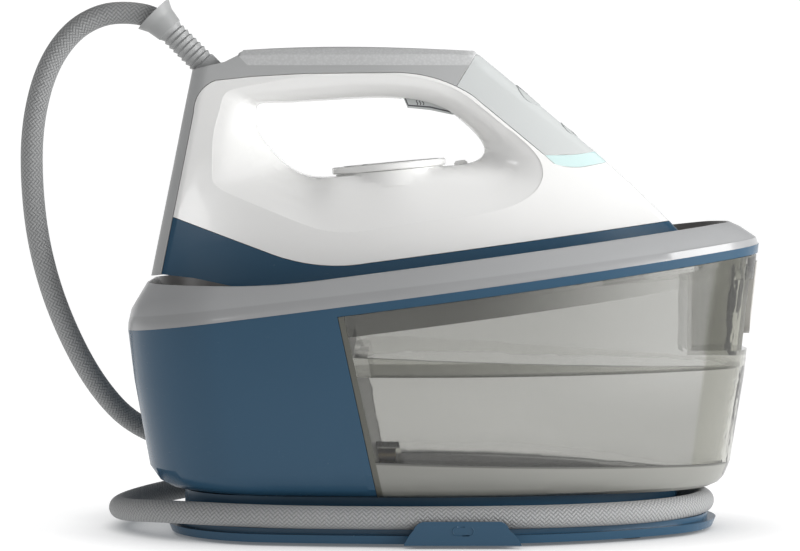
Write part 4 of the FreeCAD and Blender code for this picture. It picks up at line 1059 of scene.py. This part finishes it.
# ---- sub-assemblies ----
@dataclass
class SteamHose:
    """Braided hose from the boot, behind the station, once round its base and into its gland."""

    paint: Paintbox
    radius: float = 0.0065
    sides: int = 40
    resolution: int = 10
    route: list[Point] = field(default_factory=lambda: [
        (-0.16132, 0.0, 0.29326), (-0.16839, 0.0, 0.30033),
        (-0.184, 0.0, 0.3038), (-0.202, 0.0, 0.3026), (-0.220, 0.0, 0.292), (-0.2345, 0.0, 0.270),
        (-0.2425, 0.0, 0.238), (-0.2433, 0.001, 0.203), (-0.2395, 0.005, 0.165), (-0.229, 0.015, 0.125),
        (-0.2106, 0.038, 0.082), (-0.188, 0.072, 0.0515), (-0.150, 0.101, 0.0375), (-0.100, 0.107, 0.029),
        (-0.046, 0.1015, 0.019), (0.009, 0.0995, 0.0164), (0.066, 0.090, 0.0164), (0.119, 0.0645, 0.0164),
        (0.1535, 0.022, 0.0164), (0.1535, -0.023, 0.0164), (0.119, -0.066, 0.0164), (0.066, -0.089, 0.0164),
        (0.009, -0.0965, 0.0164), (-0.050, -0.0962, 0.0164), (-0.108, -0.090, 0.0166),
        (-0.160, -0.066, 0.0166), (-0.1915, -0.023, 0.0124), (-0.1915, 0.027, 0.011), (-0.171, 0.066, 0.0132),
        (-0.138, 0.0915, 0.0166), (-0.104, 0.098, 0.0168), (-0.0826, 0.09122, 0.0179),
        (-0.0699, 0.0853, 0.0179),
    ])
    parting: Point = (-0.2198, 0.0265, 0.1035)
    parting_run: Point = (0.0, 0.004, -0.040)

    def build(self) -> None:
        points = self._line()
        shape = bmesh.new()
        rings = self._rings(shape, points)
        runs = [0.0]
        for point, before in zip(points[1:], points):
            runs.append(runs[-1] + (point - before).length)
        corners = self._walls(shape, rings, runs)
        hose = add_piece("steam_hose", shape)
        for place, name in enumerate(("turn", "run")):
            trait = hose.data.attributes.new(name, "FLOAT", "CORNER")
            trait.data.foreach_set("value", [corner[place] for corner in corners])
        self.paint.coat(hose, Finish.BRAID)
        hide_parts("steam_hose_upper", "steam_hose_lower")
        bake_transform(hose)

    def _line(self) -> list[Vector]:
        """Points of the smooth line that the hose follows.

        Returns:
            The points, from the boot to the gland.
        """
        curve = bpy.data.curves.new("hose_line", "CURVE")
        curve.dimensions = "3D"
        spline = curve.splines.new("NURBS")
        spline.points.add(len(self.route) - 1)
        for point, place in zip(spline.points, self.route):
            point.co = (*place, 1.0)
        spline.order_u = 3
        spline.use_endpoint_u = True
        curve.resolution_u = self.resolution
        holder = place_object("hose_line", curve)
        bpy.context.view_layer.update()
        mesh = bpy.data.meshes.new_from_object(holder)
        points = [vertex.co.copy() for vertex in mesh.vertices]
        bpy.data.objects.remove(holder)
        return points

    def _rings(self, shape: Shape, points: Sequence[Vector]) -> list[list[Corner]]:
        """Add a ring round each point of the line, each turned as little as can be from the one before.

        Args:
            shape: mesh that they go into.
            points: points of the line.

        Returns:
            The corners of each ring.
        """
        rings = []
        tangent = (points[1] - points[0]).normalized()
        side = Vector(ACROSS)
        for number, point in enumerate(points):
            ahead = points[min(number + 1, len(points) - 1)]
            behind = points[max(number - 1, 0)]
            new_tangent = (ahead - behind).normalized()
            side = tangent.rotation_difference(new_tangent) @ side
            tangent = new_tangent
            side = (side - tangent * side.dot(tangent)).normalized()
            up = tangent.cross(side)
            ring = []
            for step in range(self.sides):
                angle = 2 * math.pi * step / self.sides
                reach = (side * math.cos(angle) + up * math.sin(angle)) * self.radius
                ring.append(shape.verts.new(point + reach))
            rings.append(ring)
        return rings

    def _walls(self, shape: Shape, rings: Sequence[Sequence[Corner]],
               runs: Sequence[float]) -> list[Pair]:
        """Join the rings by faces and close both ends.

        Args:
            shape: mesh that the faces go into.
            rings: the rings.
            runs: length of hose up to each ring.

        Returns:
            The turn round the hose and the length along it at each face corner.
        """
        corners: list[Pair] = []
        for ring, next_ring, run, next_run in zip(rings, rings[1:], runs, runs[1:]):
            for step in range(self.sides):
                after = (step + 1) % self.sides
                shape.faces.new((ring[step], ring[after], next_ring[after], next_ring[step]))
                here, there = step / self.sides, (step + 1) / self.sides
                corners += [(here, run), (there, run), (there, next_run), (here, next_run)]
        shape.faces.new(list(reversed(rings[0])))
        shape.faces.new(rings[-1])
        return corners + [(0.0, 0.0)] * (2 * self.sides)


@dataclass
class Assembly:
    """Part of the object that is dressed together: smooth skins, plain nodes and moulded marks."""

    paint: Paintbox
    skins: tuple[Skin, ...] = ()
    finishes: Groups = ()
    marks: tuple[Mark, ...] = ()

    def build(self) -> None:
        """Make the skins, finish the plain nodes and add the marks."""
        for skin in self.skins:
            skin.build(self.paint)
        for finish, names in self.finishes:
            for name in names:
                self.paint.coat_node(name, finish)
        for mark in self.marks:
            mark.build(self.paint)


@dataclass
class Station(Assembly):
    """Station below the iron: base, housing, band, tray and their feet."""

    skins: tuple[Skin, ...] = (
        Skin("base_plate", Finish.BLUE), Skin("base_neck", Finish.BLUE), Skin("rear_housing", Finish.BLUE),
        Skin("deck_frame", Finish.BLUE), Skin("rest_tray", Finish.RIM), Skin("tray_floor", Finish.TRAY),
    )
    finishes: Groups = (
        (Finish.BLUE, ("bulkhead",)),
        (Finish.BRASS, ("docking_nipple", "solenoid_valve")),
        (Finish.DARK, ("hose_gland", "mains_inlet", "boiler_cradle", "pump")),
        (Finish.STEEL, ("boiler",)),
        (Finish.CASTING, ("boiler_heater",)),
        (Finish.BOARD, ("control_board",)),
        (Finish.FOOT, ("foot_1", "foot_2", "foot_3", "foot_4")),
        (Finish.FOOT, ("rest_pad_nose", "rest_pad_near", "rest_pad_far")),
    )
    marks: tuple[Mark, ...] = (
        Mark("tab_sign", "base_plate", Finish.BLUE, (0.0097, -0.1, 0.0101), LENGTHWISE, UPWARD,
             (arc(0.0024, 90, 270, (-0.0035, 0.0), 12) + arc(0.0024, -90, 60, (0.0035, 0.0), 12),
              ((-0.0035, 0.0024), (0.001, 0.0024)), ((-0.0005, -0.0024), (0.0035, -0.0024))),
             width=0.0007, height=0.00025),
    )


@dataclass
class WaterTank(Assembly):
    """Removable smoked tank with its cover, baffle, valve and grip flap."""

    skins: tuple[Skin, ...] = (
        Skin("tank_shell", Finish.TANK, patches=(
            Patch(Finish.TANK_FOOT, (((-0.04, 0.0, 0.0478), (0.035, 0.0, 1.0)), ((0.0, -0.02, 0.0), ACROSS))),
            # The rear wall takes the darker copy of the smoke, as painted shade.
            Patch(Finish.TANK_REAR_SHADE, (((-0.0468, 0.0, 0.08223), (0.978, 0.0, 0.21)),)),
        )),
        Skin("tank_cover", Finish.COVER),
        Skin("tank_baffle", Finish.BAFFLE, patches=(
            # The ledge's far half takes the paler copy of its finish, as painted light.
            Patch(Finish.BAFFLE_FAR_LIT, (((0.0, 0.0, 0.0), (0.0, -1.0, 0.0)),)),
        )),
        Skin("tank_flap", Finish.FLAP),
    )
    finishes: Groups = (
        (Finish.VALVE, ("tank_valve",)),
        (Finish.PIN, ("flap_pin",)),
    )


# Directions up the slanted panel of the iron, and lengthwise in the tilted face of its dial.
PANEL_RISE: Point = (-0.767811, 0.0, 0.640676)
DIAL_RUN: Point = (0.995884, 0.0, 0.090633)


@dataclass
class Iron(Assembly):
    """The iron: shells, grip, panel, sole and controls."""

    skins: tuple[Skin, ...] = (
        Skin("iron_skirt", Finish.BLUE), Skin("iron_body_shell", Finish.WHITE, crease=0.6),
        Skin("light_band", Finish.BAND), Skin("control_panel", Finish.PANEL),
        Skin("grip_inlay", Finish.GRIP, crown=Crown()), Skin("handle_frame", Finish.FRAME),
        Skin("hose_boot", Finish.BOOT, crease=0.5), Skin("temperature_dial", Finish.WHITE),
        Skin("dial_pointer", Finish.WHITE),
    )
    finishes: Groups = (
        (Finish.STEEL, ("soleplate",)),
        (Finish.CASTING, ("heater_casting", "chamber_cover")),
        (Finish.DARK, ("sole_thermostat", "dial_spindle", "trigger_switch")),
        (Finish.BRASS, ("steam_tube",)),
        (Finish.KEYS, ("steam_trigger", "steam_button", "power_button")),
        (Finish.PIN, ("trigger_pin",)),
        (Finish.BOARD, ("panel_board",)),
    )
    marks: tuple[Mark, ...] = (
        Mark("trigger_edge", "steam_trigger", Finish.MARK, (0.0, -0.008, 0.0), LENGTHWISE, UPWARD,
             (((-0.0227, 0.2532), (-0.0209, 0.2489), (-0.008, 0.2479), (0.0045, 0.2450)),),
             width=0.0009, height=0.0001),
        Mark("trigger_sign", "steam_trigger", Finish.MARK, (-0.0139, -0.008, 0.2506), LENGTHWISE, UPWARD,
             tuple(wave(0.003, 0.0004, place) for place in (-0.0018, 0.0, 0.0018)), height=0.0001),
        Mark("power_sign", "power_button", Finish.MARK, (0.076, 0.0, 0.2301), ACROSS, PANEL_RISE,
             (arc(0.0034, 125, 415), ((0.0, 0.001), (0.0, 0.0046)))),
        Mark("steam_sign", "steam_button", Finish.MARK, (0.044, 0.0, 0.2555), ACROSS, PANEL_RISE,
             tuple(wave(0.008, 0.0009, place) for place in (-0.003, 0.0, 0.003))),
        # Painted shade: a dark ring on the dial's face stands for the shade in a gap near its edge.
        Mark("dial_gap_shade", "temperature_dial", Finish.MARK, (-0.0312, 0.0, 0.2135), DIAL_RUN, ACROSS,
             (arc(0.0285, 0, 360, steps=64),), width=0.0007, height=0.0001),
    )


# ---- studio ----
@dataclass(frozen=True)
class SoftBox:
    """Rectangular light aimed at a point."""

    name: str
    place: Point
    aim: Point
    size: Pair
    power: float

    def build(self) -> None:
        """Hang the light."""
        light = bpy.data.lights.new(self.name, "AREA")
        light.shape = "RECTANGLE"
        light.size, light.size_y = self.size
        light.energy = self.power
        holder = place_object(self.name, light)
        holder.location = self.place
        holder.rotation_euler = (Vector(self.aim) - Vector(self.place)).to_track_quat("-Z", "Y").to_euler()


class Surroundings(NodeWork):
    """White backdrop at the height of the eye under a dimmer, slightly bluer ceiling."""

    CEILING_BLUE = 1.01

    def __init__(self, name: str) -> None:
        """Start an empty world and show it.

        Args:
            name: its name.
        """
        world = bpy.data.worlds.new(name)
        bpy.context.scene.world = world
        world.use_nodes = True
        super().__init__(world.node_tree)

    def build(self, level: float, ceiling: float, low: float, high: float) -> None:
        """Light the world.

        Args:
            level: brightness of the backdrop.
            ceiling: brightness overhead.
            low: upward slope where the backdrop begins to dim.
            high: upward slope where it has become the ceiling.
        """
        rise = self.axes(self.node("ShaderNodeTexCoord").out("Generated"))[2].between(low, high)
        colour = self.blend(rise, (level, level, level), (ceiling, ceiling, ceiling * self.CEILING_BLUE))
        light = self.node("ShaderNodeBackground", None, {"Color": colour, "Strength": 1.0})
        self.node("ShaderNodeOutputWorld", None, {"Surface": light.out("Background")})


@dataclass
class Studio:
    """Camera, pale floor, white surroundings and soft lights."""

    camera_place: Point = (-0.0257, -1.9, 0.235)
    camera_aim: Point = (-0.0257, 0.0, 0.1486)
    lens: float = 144.9
    sensor: float = 36.0
    sight: float = 200.0
    floor_half: float = 40.0
    paper: float = 0.3
    paper_drift: float = 0.01
    paper_drift_size: float = 0.6
    paper_roughness: float = 0.9
    paper_glow: float = 0.92
    shade: Colour = (0.12, 0.13, 0.14)
    shade_reach: float = 0.07
    shade_samples: int = 8
    front: Colour = (0.38, 0.38, 0.38)
    front_fade: Pair = (-1.1, -0.15)
    lights: tuple[SoftBox, ...] = (
        SoftBox("key_light", (2.0, -0.65, 0.65), (0.0, 0.0, 0.14), (1.3, 1.1), 52.0),
        SoftBox("side_light", (-0.9, -1.5, 1.3), (0.0, 0.0, 0.2), (0.2, 0.2), 1.2),
        SoftBox("top_light", (0.1, 0.3, 1.8), (0.0, 0.0, 0.1), (1.4, 1.0), 2.5),
    )

    def build(self) -> None:
        """Set the camera, the floor, the surroundings and the lights."""
        data = bpy.data.cameras.new("camera")
        data.lens = self.lens
        data.sensor_width = self.sensor
        data.clip_end = self.sight
        camera = place_object("camera", data)
        camera.location = self.camera_place
        view = Vector(self.camera_aim) - Vector(self.camera_place)
        camera.rotation_euler = view.to_track_quat("-Z", "Y").to_euler()
        bpy.context.scene.camera = camera
        bpy.context.scene.view_settings.view_transform = "Standard"
        self._floor()
        Surroundings("studio").build(level=1.06, ceiling=0.3, low=0.06, high=0.25)
        for light in self.lights:
            light.build()

    def _floor(self) -> None:
        """Lay the pale floor, which glows less close to things, as a painted contact shadow, and in front."""
        shape = bmesh.new()
        half = self.floor_half
        outline = ((-half, -half, 0.0), (half, -half, 0.0), (half, half, 0.0), (-half, half, 0.0))
        shape.faces.new([shape.verts.new(corner) for corner in outline])
        floor = add_piece("studio_floor", shape, smooth=False)
        shader = Shader("floor_paper")
        white = (self.paper, self.paper, self.paper)
        glow = shader.blend(shader.axes()[1].between(*self.front_fade), self.front, (1.0, 1.0, 1.0))
        # Painted contact shadow: the floor's glow darkens where things are close by.
        contact_shadow = shader.node(
            "ShaderNodeAmbientOcclusion", {"samples": self.shade_samples}, {"Distance": self.shade_reach})
        drift = shader.noise(self.paper_drift_size, 2.0)
        shader.set(
            Base_Color=shader.vary(drift, white, 1 - self.paper_drift, 1 + self.paper_drift),
            Roughness=self.paper_roughness,
            Specular_IOR_Level=0.0,
            Emission_Color=shader.blend(contact_shadow.signal("AO"), self.shade, glow),
            Emission_Strength=self.paper_glow,
        )
        floor.data.materials.append(shader.material)


def main() -> None:
    """Build the studio, the hose and the three sub-assemblies."""
    logging.basicConfig(level=logging.INFO, format="%(name)s: %(message)s")
    paint = Paintbox()
    Studio().build()
    SteamHose(paint).build()
    Station(paint).build()
    WaterTank(paint).build()
    Iron(paint).build()


if __name__ == "__main__":
    main()
